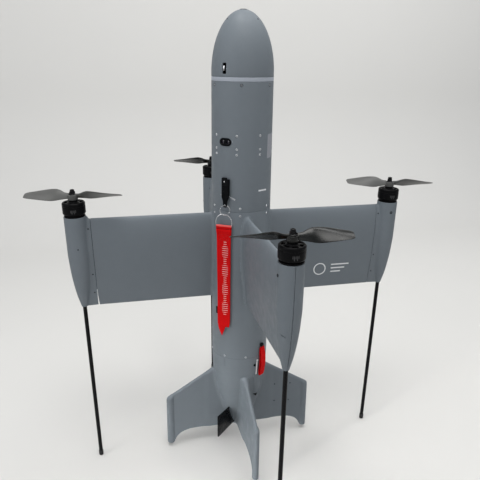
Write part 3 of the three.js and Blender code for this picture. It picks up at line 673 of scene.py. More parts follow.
def screw_shade_ring(radius):
    """A flat ring round a screw's head; drawn black, it is painted shade for the gap round the head."""
    wide = radius + 1.1
    return turned([(radius, -1), (wide, -1), (wide, 0.14, 0.1), (radius, 0.14, 0.1)], 32)


BUTTON = button_screw()
FLAT = flat_screw(1.7)
SHADE_RING = screw_shade_ring(1.8)
SMALL = button_screw(1.5)


# ---- Fuselage ----

TAIL_CURVE = spline([(10, TAIL_BOTTOM), (17, 52), (32.4, 80), (46.5, 120), (57, 158), (62, 205),
                     (BODY_RADIUS, TAIL_SEAM)], 10)


def tail_radius(height):
    return np.interp(height, TAIL_CURVE[:, 1], TAIL_CURVE[:, 0])


def on_tail(bearing, height):
    return on_body(bearing, height, tail_radius(height))


LAMP_PLACE = on_body(-59, 639) @ turn(-1)
OUTLET_MOUTH = on_body(OUTLET_BEARING, OUTLET_HEIGHT, tail_radius(OUTLET_HEIGHT + 5))


def ellipse_side(radius, height, base, end_radius, steps=28):
    """From the shoulder up to where the nose has narrowed to end_radius."""
    last = math.acos(end_radius / radius)
    return [(radius * math.cos(a), base + height * math.sin(a)) for a in np.linspace(0, last, steps)]


def nose_shell():
    seat, floor, top_wall = 8.3, NOSE_TOP - 4, 3
    outer = ellipse_side(BODY_RADIUS, NOSE_TOP - NOSE_SHOULDER, NOSE_SHOULDER, seat)
    inner = ellipse_side(INNER_RADIUS, floor - top_wall - NOSE_SHOULDER, NOSE_SHOULDER, 0.01)
    outline = [(0, floor), (seat, floor)] + outer[::-1]
    outline += [(BODY_RADIUS, BAND_TOP, 0.7), (INNER_RADIUS, BAND_TOP)] + inner
    latch_notch = moved(prism(rectangle(4.5, 10.5, 1), -14, 8), on_body(-138, 882.5))
    return cut(turned(outline, BODY_SIDES), latch_notch)


def nose_latch():
    """A lever and its pivot in the notch near the nose's lower edge."""
    bearing, pivot_height, lever_height = -139.5, 880, 883
    return merged(moved(block((-1.6, -4.5, -2.6), (1.6, 4.5, -0.4)), on_body(bearing, lever_height)),
                  moved(prism(circle(1.8), -6, -2), on_body(bearing, pivot_height)))


def nose_cap():
    radius, floor = 7.9, NOSE_TOP - 3.8
    rim = NOSE_SHOULDER + (NOSE_TOP - NOSE_SHOULDER) * math.sqrt(1 - (radius / BODY_RADIUS) ** 2)
    return turned([(0, floor), (radius, floor), (radius, rim + 0.5, 0.6),
                   (5.5, NOSE_TOP + 0.3, 1.5), (0, NOSE_TOP + 0.5)], 48)


def joint_ring():
    spigot, bore = INNER_RADIUS - 0.3, INNER_RADIUS - 2.3
    low_edge, high_edge = BAND_BOTTOM + 0.3, BAND_TOP - 0.3
    return turned([(bore, low_edge - 12), (spigot, low_edge - 12, 0.5), (spigot, low_edge),
                   (BODY_RADIUS, low_edge, 0.5), (BODY_RADIUS, high_edge, 0.5), (spigot, high_edge),
                   (spigot, high_edge + 3, 0.5), (bore, high_edge + 3, 0.5)], BODY_SIDES)


def tube(bottom, top):
    return turned([(INNER_RADIUS, bottom), (BODY_RADIUS, bottom, 0.7), (BODY_RADIUS, top, 0.7),
                   (INNER_RADIUS, top)], BODY_SIDES)


def front_tube():
    hole = moved(prism(stadium(27.6, 16.6), -14, 6), on_body(SENSOR_BEARING, SENSOR_HEIGHT))
    slot = moved(block((-5.3, -12, -14), (5.3, 12, 6)), on_body(PLUG_BEARING, PLUG_KEY_HEIGHT))
    lamp = moved(prism(rectangle(13, 2.2, 0.8), -1.6, 6), LAMP_PLACE)
    return cut(tube(MIDDLE_SEAM + SEAM_GAP, BAND_BOTTOM), hole, slot, lamp)


def centre_tube():
    pin_hole = moved(prism(circle(3.4), -14, 6), on_body(TAIL_PIN_BEARING, TAIL_PIN_HEIGHT))
    return cut(tube(TAIL_SEAM + SEAM_GAP, MIDDLE_SEAM - SEAM_GAP), pin_hole)


def outlet_hood():
    """A hood that rises from the tail cone towards its open lower end, and narrows as it does."""
    top, bottom, rings = 204, OUTLET_HEIGHT, []
    across = np.linspace(-1, 1, 19)
    for z in np.linspace(top, bottom, 22):
        share = (top - z) / (top - bottom)
        half = 13.5 - 5 * share - 4 * max(0, share - 0.8) / 0.2
        rise = 4.5 * math.sin(min(1, share / 0.9) * math.pi / 2) ** 2
        base = tail_radius(z) - 0.3
        face = [(base + (rise + 0.3) * (1 - abs(u) ** 2.4), u * half, z) for u in across]
        root = [(tail_radius(z) - 3.5, u * half, z) for u in across[::-1]]
        rings.append(face + root)
    return moved(loft(rings), turn(OUTLET_BEARING))


def tail_shell():
    inner = [(r - BODY_WALL, z) for r, z in TAIL_CURVE[::-1] if r > 12 and z < TAIL_SEAM - 6]
    outline = [(0, TAIL_BOTTOM), (10, TAIL_BOTTOM, 1.2)] + [tuple(p) for p in TAIL_CURVE[2:-1]]
    outline += [(BODY_RADIUS, TAIL_SEAM, 0.7), (INNER_RADIUS, TAIL_SEAM), (INNER_RADIUS, TAIL_SEAM - 5)]
    outline += inner + [(0, TAIL_BOTTOM + BODY_WALL)]
    shell = joined(turned(outline, BODY_SIDES), outlet_hood())
    mouth = prism([(-0.6, -1), (0.6, -1), (8.2, 8.5, 0.8), (-8.2, 8.5, 0.8)], -5, 12)
    slit = block((-0.8, -10.5, -1.4), (0.8, 10.5, 5))
    return cut(shell, moved(mouth, OUTLET_MOUTH), moved(slit, on_tail(-134, 237.5)))


def screw_circle(height, start, count, sink=0.3):
    """Places evenly spread round the fuselage, from one bearing on."""
    return [on_body(start + k * 360 / count, height, BODY_RADIUS - sink) for k in range(count)]


def on_nose(bearing, height=975):
    """A place on the nose's curved side."""
    tall = NOSE_TOP - NOSE_SHOULDER
    radius = BODY_RADIUS * math.sqrt(1 - ((height - NOSE_SHOULDER) / tall) ** 2)
    slope = math.degrees(math.atan2((height - NOSE_SHOULDER) * BODY_RADIUS ** 2, radius * tall ** 2))
    return on_body(bearing, height, radius) @ turn(-slope, "X")


def add_fuselage():
    piece("nose_cone_shell", nose_shell(), PAINT, replaces="nose_cone", body="nose")
    piece("nose_cap", nose_cap(), BLACK, replaces="nose_tip_cap", body="nose")
    piece("nose_latch_lever", nose_latch(), STEEL, body="nose", bevel=0.4)
    piece("band_ring", joint_ring(), BAND, replaces="nose_joint_ring")
    piece("front_fuselage_shell", front_tube(), PAINT, replaces="front_fuselage")
    piece("centre_fuselage_shell", centre_tube(), PAINT, replaces="centre_fuselage")
    piece("tail_cone_shell", tail_shell(), PAINT, replaces="tail_cone")
    nose_screws = repeated(SMALL, [on_nose(bearing) for bearing in (-48, 72, -168)])
    piece("nose_screws", nose_screws, DARK_SCREW, body="nose")
    collar = screw_circle(851, -105, 6, sink=0)
    piece("collar_screws", repeated(FLAT, collar), SCREW)
    # Black rings round the collar screw heads: painted shade for the gaps round the heads.
    piece("collar_shade_rings", repeated(SHADE_RING, collar), BLACK)
    rows = {"battery_bay_screws": [(752.5, -157.5, 8), (725.5, -157.5, 8), (714.5, -157.5, 8)],
            "middle_seam_screws": [(MIDDLE_SEAM + 8, -105, 6), (MIDDLE_SEAM - 8, -105, 6)],
            "tail_seam_screws": [(TAIL_SEAM + 4.5, -135, 8)]}
    for name, circles in rows.items():
        places = [place for row in circles for place in screw_circle(*row)]
        piece(name, repeated(BUTTON, places), SCREW)


# ---- Wings ----

def section_half(depth):
    """Half thickness of the symmetric wing section at a distance below the leading edge."""
    s = np.clip(np.asarray(depth, float) / WING_CHORD, 0, 1)
    curve = 0.2969 * np.sqrt(s) - 0.126 * s - 0.3516 * s ** 2 + 0.2843 * s ** 3 - 0.1036 * s ** 4
    return 5 * WING_THICKNESS * curve + TRAILING_EDGE_HALF * s


def wing_shape(tip_gap):
    """The panel from a fillet on the fuselage out to the joint beside the nacelle."""
    share = (1 - np.cos(np.linspace(0, math.pi, 44))) / 2
    side = np.column_stack([section_half(share * WING_CHORD), WING_TOP - share * WING_CHORD])
    outline = np.vstack([side, (side[1:] * (-1, 1))[::-1]])
    along = np.roll(outline, -1, 0) - np.roll(outline, 1, 0)
    normal = np.column_stack([-along[:, 1], along[:, 0]])
    normal /= np.linalg.norm(normal, axis=1)[:, None]
    fillet, most_rise, gap_height, rings = 6.0, 5.2, 26, []
    for step in (0, 0.3, 0.8, 1.5, 2.4, 3.6, 4.8, 6, 20, 60, 110, 170, 225, "tip"):
        rise = 0 if step == "tip" else fillet - math.sqrt(fillet ** 2 - max(0, fillet - step) ** 2)
        y, z = (outline + normal * min(rise, most_rise)).T
        root = np.sqrt(BODY_RADIUS ** 2 - y ** 2) + SEAM_GAP
        tip = LEG_REACH + z * math.tan(LEAN) + (TIP_JOINT - TIP_GAP) / math.cos(LEAN)
        tip -= tip_gap * np.clip((WING_TOP - WING_CHORD + gap_height - z) / gap_height, 0, 1)
        rings.append(np.column_stack([tip if step == "tip" else root + step, y, z]))
    return loft(rings)


# ---- Nacelles and legs, in the nacelle axis frame ----

POD_CURVE = spline([(6.2, POD_BOTTOM), (13.8, 418), (19.6, 459), (POD_RADIUS, 503)], 10)


def pod_radius(height):
    return float(np.interp(height, POD_CURVE[:, 1], POD_CURVE[:, 0]))


def pod_ring(height, shoulder):
    """One half section: flange from the wing joint, fillet, pod wall, then the flat split face."""
    radius = pod_radius(height)
    fade = math.sqrt(min(1, max(0, POD_TOP - 1.5 - height) / 9))
    fillet = 5.5 * fade + 0.01
    arm_height = height * math.cos(LEAN) - TIP_JOINT * math.sin(LEAN)
    half = max(SEAM_GAP + 0.02, float(section_half(max(0, WING_TOP - arm_height))))
    if arm_height < WING_TOP - WING_CHORD:
        half = SEAM_GAP + 0.02
    half = min(half, radius - 0.5)
    centre = -math.sqrt((radius + fillet) ** 2 - (half + fillet) ** 2)
    start = TIP_JOINT + TIP_GAP if shoulder else centre
    slab = [(x, half) for x in np.linspace(start, centre, 6)]
    meet = math.atan2(-(half + fillet), -centre)
    curve = arc(fillet, np.linspace(-math.pi / 2, meet, 8), centre, half + fillet)
    begin, end = math.atan2(half + fillet, centre), math.asin(SPLIT_GROOVE / radius)
    wall = arc(radius, np.linspace(begin, end, 30))
    wall.append((radius - 1.6, SPLIT_GROOVE))
    split = [(x, SEAM_GAP) for x in np.linspace(radius - 1.7, start, 8)]
    return [(x, y, height) for x, y in slab + curve + wall + split]


def pod_half():
    top_edge = WING_TOP / math.cos(LEAN) + TIP_JOINT * math.tan(LEAN)
    lower = POD_BOTTOM + 118 * (1 - np.cos(np.linspace(0, math.pi / 2, 26)))
    upper = lower[-1] + (top_edge - lower[-1]) * np.sin(np.linspace(0, math.pi / 2, 34))[1:]
    rings = [pod_ring(z, True) for z in np.concatenate([lower, upper])]
    rings += [pod_ring(z, False) for z in np.linspace(top_edge + 0.02, POD_TOP - 0.5, 8)]
    for inset, z in ((0.15, POD_TOP - 0.2), (0.5, POD_TOP)):
        rings.append([(x * (1 - inset / POD_RADIUS), max(SEAM_GAP, y - inset), z)
                      for x, y, _ in pod_ring(POD_TOP - 0.5, False)])
    return loft(rings)


def mirrored(shape):
    points, faces = shape
    return points * (1, -1, 1), faces


def leg_shape():
    return turned([(0, 2), (LEG_RADIUS, 2), (LEG_RADIUS, LEG_TOP), (0, LEG_TOP)], 48)


def foot_shape():
    wide = LEG_RADIUS + 0.9
    return turned([(0, 0.2), (wide - 0.4, 0.2, 2), (wide, 6), (wide, FOOT_HEIGHT - 1.5, 1.2),
                   (LEG_RADIUS + 0.05, FOOT_HEIGHT), (LEG_RADIUS + 0.05, 4), (0, 4)], 48)


# ---- Motors and propellers, in the nacelle axis frame ----

def motor_base():
    floor = POD_TOP + 0.4
    return turned([(3, floor), (20.6, floor), (21.5, POD_TOP + 1.4, 0.3), (21.5, POD_TOP + 3, 0.5),
                   (18.8, POD_TOP + 4), (3, POD_TOP + 4)], 72)


def windings():
    coil = block((8.5, -2.1, 598), (18.4, 2.1, 612))
    return repeated(coil, [turn(k * 30) for k in range(12)])


def wedge(inner, outer, half_angle, start, end, steps=10):
    """A slice of a ring about +X."""
    sweep = np.radians(np.linspace(-half_angle, half_angle, steps))
    return prism(arc(outer, sweep) + arc(inner, sweep[::-1]), start, end)


def motor_bell():
    r, inner = MOTOR_RADIUS, MOTOR_RADIUS - 3.2
    groove = BELL_BOTTOM + 17.5
    can = turned([(0, 613), (5, 613), (inner, 614.5), (inner, BELL_BOTTOM + 0.3),
                  (r - 2.2, BELL_BOTTOM + 0.3, 0.3), (r, BELL_BOTTOM + 3, 0.8), (r, groove, 0.2),
                  (r - 0.6, groove + 0.4), (r - 0.6, groove + 1), (r, groove + 1.4, 0.2),
                  (r, BELL_TOP - 2.2, 0.8), (r - 1.8, BELL_TOP, 0.6), (r - 3.6, BELL_TOP, 0.4),
                  (r - 4.4, BELL_TOP - 1.3, 0.4), (11.5, BELL_TOP - 0.6), (9, BELL_TOP + 0.8, 0.6),
                  (9, HUB_BOTTOM - 0.3, 0.4), (0, HUB_BOTTOM - 0.3)], 96)
    slots = [moved(wedge(12, 18.6, 21, BELL_TOP - 8, BELL_TOP + 2), turn(k * 60)) for k in range(6)]
    return cut(can, *slots)


BLADE_EDGES = np.array([(5, 6.5, 6.5), (16, 8, 7.5), (28, 14.7, 9.5), (44, 18.6, 12.5), (62, 19, 12),
                        (80, 17, 10), (95, 14.6, 7.5), (PROPELLER_RADIUS - 0.6, 11, 4.5)])


def blade(hand):
    """Cambered sections at a constant pitch, leading edge up, with a rounded tip."""
    stations = spline(BLADE_EDGES, 6)
    tip = stations[-1]
    stations = np.vstack([stations, tip + (0.35, -0.9, -0.9), tip + (0.55, -2.4, -2.0)])
    phase = full_turn(28)
    rings = []
    for k, (reach, lead, trail) in enumerate(stations):
        angle = min(math.atan(PROPELLER_PITCH / (2 * math.pi * reach)), math.radians(48))
        half = (2.7 - 1.8 * reach / PROPELLER_RADIUS) * (1, 0.7, 0.25)[max(0, k - len(stations) + 3)]
        chord = (lead - trail) / 2 + (lead + trail) / 2 * np.cos(phase)
        nose_heavy = 1 + 0.45 * np.cos(phase)
        camber = 0.035 * (lead + trail) * (1 - np.cos(phase) ** 2) * min(1, reach / 30)
        thick = half * np.sin(phase) * nose_heavy + camber
        y = hand * (chord * math.cos(angle) - thick * math.sin(angle))
        z = chord * math.sin(angle) + thick * math.cos(angle)
        rings.append(np.column_stack([np.full(28, reach), y, z + BLADE_HEIGHT]))
    return loft(rings)


def propeller(hand):
    lip = HUB_TOP - 0.7
    hub = turned([(2.6, HUB_BOTTOM), (10.2, HUB_BOTTOM, 0.6), (10.5, HUB_TOP, 0.9), (8.4, HUB_TOP, 0.3),
                  (8.1, lip), (2.6, lip)], 64)
    room = turned([(0, HUB_TOP - 0.65), (8.05, HUB_TOP - 0.65), (8.3, HUB_TOP + 12),
                   (0, HUB_TOP + 12)], 48)
    clear = prism(circle(30, 48), BELL_TOP - 20, BELL_TOP + 1.6)
    bore = prism(circle(2.7), HUB_BOTTOM - 5, HUB_TOP + 5)
    return cut(joined(hub, blade(hand), moved(blade(hand), turn(180))), room, clear, bore)


def propeller_nut():
    base, shoulder = HUB_TOP + 0.1, NUT_TOP - 4
    flange = turned([(0, base), (7.4, base), (7.5, base + 0.8, 0.3), (5.2, base + 2.2),
                     (0, base + 2.2)], 48)
    body = prism(circle(5.8, 6), base + 1.5, shoulder)
    chamfer = turned([(0, base), (9, base), (9, NUT_TOP - 5.6), (5.1, shoulder), (0, shoulder)], 48)
    cap = turned([(0, base + 2), (4.5, base + 2), (4.5, NUT_TOP, 1.2), (2.6, NUT_TOP, 0.4),
                  (2.2, NUT_TOP - 1), (0, NUT_TOP - 1)], 48)
    return joined(boolean(body, "INTERSECT", chamfer), flange, cap)


def bell_marks():
    """A short row of plain tick marks on the can, each a pad that follows its wall."""
    inner, outer, top = MOTOR_RADIUS - 0.5, MOTOR_RADIUS + 0.12, 606
    bottoms = (601, 598, 601, 598, 601)
    return merged(*[moved(wedge(inner, outer, 1.6, bottom, top, 4), turn(6 * k))
                    for k, bottom in enumerate(bottoms)])


# ---- Tail fins ----

FIN_TOP = np.array([(20, 228.1), (64, 201), (169, 136.3), (173, 133.6), (175, 131), (176, 127)])
FIN_BOTTOM = spline([(20, 41), (70, 41), (113, 41), (130, 38.4), (146, 31), (154, 22), (158, 14.5),
                     (160, 10), (162, 8.2), (168, 8), (173, 8.2), (175, 9), (176, 11)], 6)


def fin_shape():
    """A panel with a thicker root that flares into the tail cone, and a rounded rib at its tip."""
    root = [(s, None) for s in (0, 0.6, 1.4, 2.6, 4, 6)]
    panel = [(None, r) for r in (72, 75, 78, 82, 86, 90, 97, 105, 120, 134, 144, 151, 155)]
    rib = [(None, RIB_REACH - RIB_HALF_WIDTH * math.cos(a)) for a in np.linspace(0, math.pi, 19)]
    share = np.concatenate([np.linspace(0, 0.06, 6), np.linspace(0.1, 0.85, 16),
                            1 - 0.12 * np.linspace(1, 0, 14) ** 2])
    rings = []
    for out, reach in root + panel + rib:
        z = 41 + share * 150
        for _ in range(6):
            cone = tail_radius(z) + SEAM_GAP
            r = cone + out if reach is None else np.maximum(reach, cone)
            floor = np.interp(r, FIN_BOTTOM[:, 0], FIN_BOTTOM[:, 1])
            ceiling = np.interp(r, FIN_TOP[:, 0], FIN_TOP[:, 1])
            z = floor + share * (ceiling - floor)
        thick_root = 2.2 * np.clip((90 - r) / 20, 0, 1) ** 2 * (3 - 2 * np.clip((90 - r) / 20, 0, 1))
        away = np.clip((r - cone) / 6, 0, 1)
        flare = 5 * (1 - np.sqrt(1 - (1 - away) ** 2))
        inside = np.clip(1 - ((r - RIB_REACH) / RIB_HALF_WIDTH) ** 2, 0, None)
        rib_half = RIB_HALF_DEPTH * np.sqrt(inside)
        panel_half = (FIN_HALF + thick_root + flare) * np.clip((176.2 - r) / 8, 0, 1) ** 0.5
        half = (panel_half ** 5 + rib_half ** 5) ** 0.2
        round_top = np.clip((ceiling - z) / 8, 0, 1)
        round_low = np.clip((z - floor) / 1.6, 0, 1)
        half = half * np.sqrt(1 - (1 - round_top) ** 2) * np.sqrt(1 - (1 - round_low) ** 2)
        drop = (cone - np.sqrt(np.maximum(cone ** 2 - half ** 2, 0))) * (1 - away)
        front = np.column_stack([r - drop, half, z])
        back = np.column_stack([r - drop, -half, z])[::-1]
        rings.append(np.vstack([front, back]))
    return loft(rings)


# ---- Arms ----

def arm_pieces():
    """Pieces alike on all four arms: name, shape, look, CAD node, frame, body."""
    return [("tail_fin", fin_shape(), PAINT, "fin", "arm", "airframe"),
            ("leg", leg_shape(), LEG_CARBON, "leg_tube", "nacelle", "airframe"),
            ("foot", foot_shape(), RUBBER, "leg_foot", "nacelle", "airframe"),
            ("motor_plate", motor_base(), MOTOR, "motor_base", "nacelle", "airframe"),
            ("bell", motor_bell(), MOTOR, "motor_bell", "nacelle", "rotor"),
            ("cap_nut", propeller_nut(), NUT, "propeller_nut", "nacelle", "rotor")]


def add_arms():
    half_a = pod_half()
    half_b = mirrored(half_a)
    slot = moved(prism(stadium(11, 2.4), -1.4, 6), on_pod(461, -43) @ turn(-20))
    slotted = cut(half_b, slot)
    alike = arm_pieces()
    coils, gasket, grommet = windings(), joint_gasket(), nacelle_grommet()
    blades = {hand: propeller(hand) for hand in (1, -1)}
    blade_looks = {1: BLACK_BLADES, -1: GREY_BLADES}
    for side, bearing in SIDES.items():
        arm = turn(bearing)
        nacelle = arm @ NACELLE
        frames = {"arm": arm, "nacelle": nacelle}
        hand = 1 if side in ("front", "back") else -1
        rotor = f"rotor_{side}"
        wing = wing_shape(1.8 if side == "left" else 0.2)
        piece(f"wing_panel_{side}", wing, PAINT, arm, f"wing_{side}")
        piece(f"pod_{side}_a", half_a, PAINT, nacelle, f"nacelle_{side}_half_a")
        other_half = slotted if side == "front" else half_b
        piece(f"pod_{side}_b", other_half, PAINT, nacelle, f"nacelle_{side}_half_b")
        for name, shape, look, node, where, body in alike:
            rides = rotor if body == "rotor" else body
            piece(f"{name}_{side}", shape, look, frames[where], f"{node}_{side}", rides)
        piece(f"motor_windings_{side}", coils, COPPER, nacelle, bevel=0.8)
        spin = nacelle @ turn(BLADE_BEARINGS[side] - bearing)
        piece(f"blades_{side}", blades[hand], blade_looks[hand], spin, f"propeller_{side}", rotor, 40)
        marks = repeated(bell_marks(), [turn(VIEW_SIDE - bearing + k * 120) for k in range(3)])
        piece(f"bell_marks_{side}", marks, MARKS, nacelle, body=rotor)
        piece(f"nacelle_grommet_{side}", grommet, BLACK, nacelle @ on_pod(566, -88))
        piece(f"tip_gasket_{side}", gasket, BLACK, nacelle)
        add_arm_screws(side, arm, nacelle)


def joint_gasket():
    """A dark seal set back inside the gap between the wing and its nacelle."""
    bottom, half_width, set_back = 424, 0.4, 1.2
    rows = []
    for z in np.linspace(bottom, WING_TOP - 3, 20):
        half = max(0.8, float(section_half(WING_TOP - z)) - set_back)
        corners = ((-half_width, half), (half_width, half), (half_width, -half), (-half_width, -half))
        rows.append([(TIP_JOINT + x, y, z) for x, y in corners])
    return loft(rows)


def nacelle_grommet():
    return turned([(1.2, -1), (2.9, -1), (2.9, 0.5, 0.4), (2.1, 0.7, 0.3), (1.4, -0.2, 0.2),
                   (1.2, -0.2)], 32)


def on_pod(height, degrees):
    """A place on the pod's wall, by height on its axis and angle from straight outboard."""
    return on_body(degrees, height, pod_radius(height))


def add_arm_screws(side, arm, nacelle):
    spots = []
    for face in (1, -1):
        for height in (417, 460, 561):
            half = float(section_half(WING_TOP - height))
            spots.append(on_face(TIP_JOINT + 5.5, face * half, height, face))
    spots.append(on_pod(522, 91))
    piece(f"nacelle_screws_{side}", repeated(SMALL, spots), DARK_SCREW, nacelle)
    face = 1 if side == "front" else -1
    corners = ((90, 137), (130, 135), (90, 90), (127, 88))
    spots = [on_face(x, face * FIN_HALF, z, face) for x, z in corners]
    piece(f"fin_screws_{side}", repeated(SMALL, spots), DARK_SCREW, arm)


# ---- Fittings ----

LENS_PLACES = [shift(x) for x in (-6.2, 6.2)]


def range_sensor():
    face = prism(stadium(27, 16), -12, 0.7)
    window = prism(circle(4.7, 32), -3.2, 3)
    return cut(face, *[moved(window, place) for place in LENS_PLACES])


def sensor_lens():
    glass = turned([(0, -3.4), (4.6, -3.4), (4.6, -2.2, 0.3), (3.4, -1.7, 0.8), (0, -1.2)], 40)
    return repeated(glass, LENS_PLACES)


def sensor_rims():
    rim = turned([(3.6, -2.2), (4.7, -2.2), (4.7, 1.0, 0.2), (4.2, 1.0, 0.2)], 40)
    return repeated(rim, LENS_PLACES)


def arming_plug():
    """Grip with a stepped top, a thin tapering tail with an eye, and the key behind it."""
    waist, shoulder = EYE_HEIGHT + 8, PLUG_SHOULDER + 1
    grip = prism([(-8.2, PLUG_SHOULDER), (8.2, PLUG_SHOULDER), (8.2, PLUG_TOP - 3, 1.5),
                  (2.2, PLUG_TOP - 3, 0.8), (1.4, PLUG_TOP, 0.8), (-8.2, PLUG_TOP, 1.5)],
                 0.7, PLUG_OUT)
    tail = prism([(-3.9, PLUG_TIP, 2), (3.9, PLUG_TIP, 2), (5.2, waist, 3), (8.2, shoulder, 1),
                  (-8.2, shoulder, 1), (-5.2, waist, 3)], PLUG_OUT - 1.2, PLUG_OUT)
    key = prism([(-5, 636), (5, 636), (5, 658), (-5, 658)], -13, 1)
    pads = [prism([(-6.5, z), (6.5, z), (6.5, z + 3.5), (-6.5, z + 3.5)], PLUG_OUT - 1, PLUG_OUT + 0.45)
            for z in (632, 637.5, 643, 648.5)]
    eye = moved(prism(circle(2.3, 32), -20, 20), shift(0, EYE_HEIGHT - 0.6))
    return cut(joined(grip, tail, key, *pads), eye)


def ring(radius, width, thickness, turns=1.0, rise=0.0, sides=96):
    """Flattened wire wound about the Y axis."""
    steps = int(sides * turns)
    angles = np.linspace(0, 2 * math.pi * turns, steps, endpoint=turns != 1)
    rings = []
    for k, a in enumerate(angles):
        step = rise * (k / steps - 0.5)
        out = np.array((math.cos(a), 0, math.sin(a)))
        rings.append([out * (radius + width * x) + (0, step + thickness * y, 0)
                      for x, y in circle(0.5, 12)])
    return loft(rings, loop=turns == 1)


def ribbon_path():
    """Up the back, over the split ring and down the front, then to the pointed end."""
    strand_top, top = 546, RIBBON_TOP - 2.6
    back = [(-1.0, 0, z) for z in np.linspace(RIBBON_BOTTOM, strand_top, 60)]
    front = [(1.0, 0, z) for z in np.linspace(strand_top, RIBBON_BOTTOM + 23, 56)]
    loop = [(-2.0, 0, 552), (-2.4, 0, 559)]
    loop += [(-2.6 * math.cos(a), 0, top + 2.1 * math.sin(a)) for a in np.linspace(0, math.pi, 9)]
    loop += [(1.7, 0, 560.6), (1.6, 0, 559.6), (2.3, 0, 558.4), (2.3, 0, 552)]
    return np.array(back + loop + front)


def ribbon_shape(path, edge, wave, count=17):
    """Flat webbing with soft edges. edge gives the two side limits at a point of the path."""
    u = np.linspace(-1, 1, count)
    rings = []
    for k, point in enumerate(path):
        along = path[min(k + 1, len(path) - 1)] - path[max(k - 1, 0)]
        normal = np.cross((0, 1, 0), along)
        normal /= np.linalg.norm(normal)
        left, right = edge(k, point)
        across = (left + right) / 2 + u * (right - left) / 2
        skin = WEBBING_THICKNESS / 2 * np.sqrt(1 - np.abs(u) ** 6 * 0.75)
        out = wave(across, point[2])
        middle = point + np.column_stack([out, across, np.zeros(count)])
        depth = normal * skin[:, None]
        rings.append(np.vstack([middle + depth, (middle - depth)[::-1]]))
    return loft(rings)


def arming_ribbon():
    path = ribbon_path()
    turn_over = len(path) // 2
    strip_top, point_start = 540, 337

    def edge(k, point):
        z = point[2]
        flare = 1.4 * np.clip((z - 535) / 30, 0, 1)
        lean = np.clip((strip_top - z) / 210, 0, 1)
        left, right = 2.4 * lean - RIBBON_HALF - flare, RIBBON_HALF + flare - 0.8 * lean
        if k < turn_over:
            tail = np.clip((334 - z) / 26, 0, 1)
            notch = np.clip((point_start - z) / 6, 0, 1) * 9
            return left + 9 * tail ** 1.4, right - notch - 9 * tail
        return left + max(0, point_start - z) * 0.55, right - max(0, point_start - z) * 0.2

    def wave(across, z):
        low_share = np.clip((strip_top - z) / 230, 0, 1)
        curl = np.clip((360 - z) / 50, 0, 1) ** 2 * 2.2 * (across / RIBBON_HALF) ** 2
        twist = 0.5 * low_share * np.sin(z / 21) * (across / RIBBON_HALF)
        return twist + 0.6 * low_share * np.sin(z / 37) + curl

    return ribbon_shape(path, edge, wave)


def tail_ribbon():
    """A short strip that hangs from the pin, folded up behind itself, and bows outwards."""
    top, bottom = TAIL_PIN_HEIGHT - 3.5, TAIL_RIBBON_BOTTOM
    outer = [(BODY_RADIUS + 3 + 5.5 * math.sin(t * 2.9) ** 0.8, 0, top - t * (top - bottom))
             for t in np.linspace(0.02, 0.97, 34)]
    inner = [(BODY_RADIUS + 1.8 + 1.6 * math.sin(t * 2.9), 0, top - t * (top - bottom))
             for t in np.linspace(0.98, 0.06, 26)]

    def edge(_, point):
        share = (top - point[2]) / (top - bottom)
        widening = 1.6 * math.sin(min(1, share * 3) * math.pi / 2)
        half = 6.5 + widening - 1.8 * max(0, share - 0.85) / 0.15
        lean = 2.4 * share - 1.2
        return -half - lean, half - lean

    def wave(across, z):
        return 0.5 * np.sin(z / 9) + 0.04 * across * np.sin(z / 14)

    return ribbon_shape(np.array(outer + inner), edge, wave)


def stitches(width, height, pitch, out):
    """A sewn box with a cross, as short raised threads on a face that looks along +X."""
    corners = [(-width, 0), (width, 0), (width, height), (-width, height), (-width, 0), (width, height),
               (width, 0), (-width, height)]
    thread = turned([(0, -pitch * 0.36), (0.16, -pitch * 0.3), (0.24, 0), (0.16, pitch * 0.3),
                     (0, pitch * 0.36)], 8)
    places = []
    for (y0, z0), (y1, z1) in zip(corners, corners[1:]):
        length = math.hypot(y1 - y0, z1 - z0)
        angle = math.degrees(math.atan2(z1 - z0, y1 - y0))
        for k in range(int(length / pitch)):
            share = (k + 0.5) * pitch / length
            spot = shift(out, y0 + (y1 - y0) * share, z0 + (z1 - z0) * share)
            places.append(spot @ turn(angle, "X") @ turn(90, "X"))
    return repeated(thread, places)


def add_key():
    plug = on_body(PLUG_BEARING, 0)
    piece("arming_plug_grip", arming_plug(), BLACK, plug, "arming_plug", "arming_key", bevel=0.35)
    screw = plug @ shift(-2, PLUG_TOP - 8, PLUG_OUT)
    piece("arming_plug_screw", SMALL, SCREW, screw, body="arming_key")
    bends = [(-11.5, 631, 1.6), (-9, 631, 2), (0, 630, 2.6), (8.5, 629, 2), (13, 627, 2), (18, 624.5, 3.2),
             (22, 622.5, 4)]
    wire = swept(spline([(x, y, PLUG_OUT - depth) for x, y, depth in bends], 6), circle(0.7, 10))
    piece("arming_plug_wire", wire, STEEL, plug, body="arming_key")
    clip = prism(rectangle(4, 1.5, 0.8), -0.6, 0.6)
    clip = moved(clip, shift(18.5, 624.3, PLUG_OUT - 3) @ turn(-26) @ turn(18, "Y"))
    piece("arming_plug_clip", clip, GREY_PLASTIC, plug, body="arming_key", bevel=0.2)


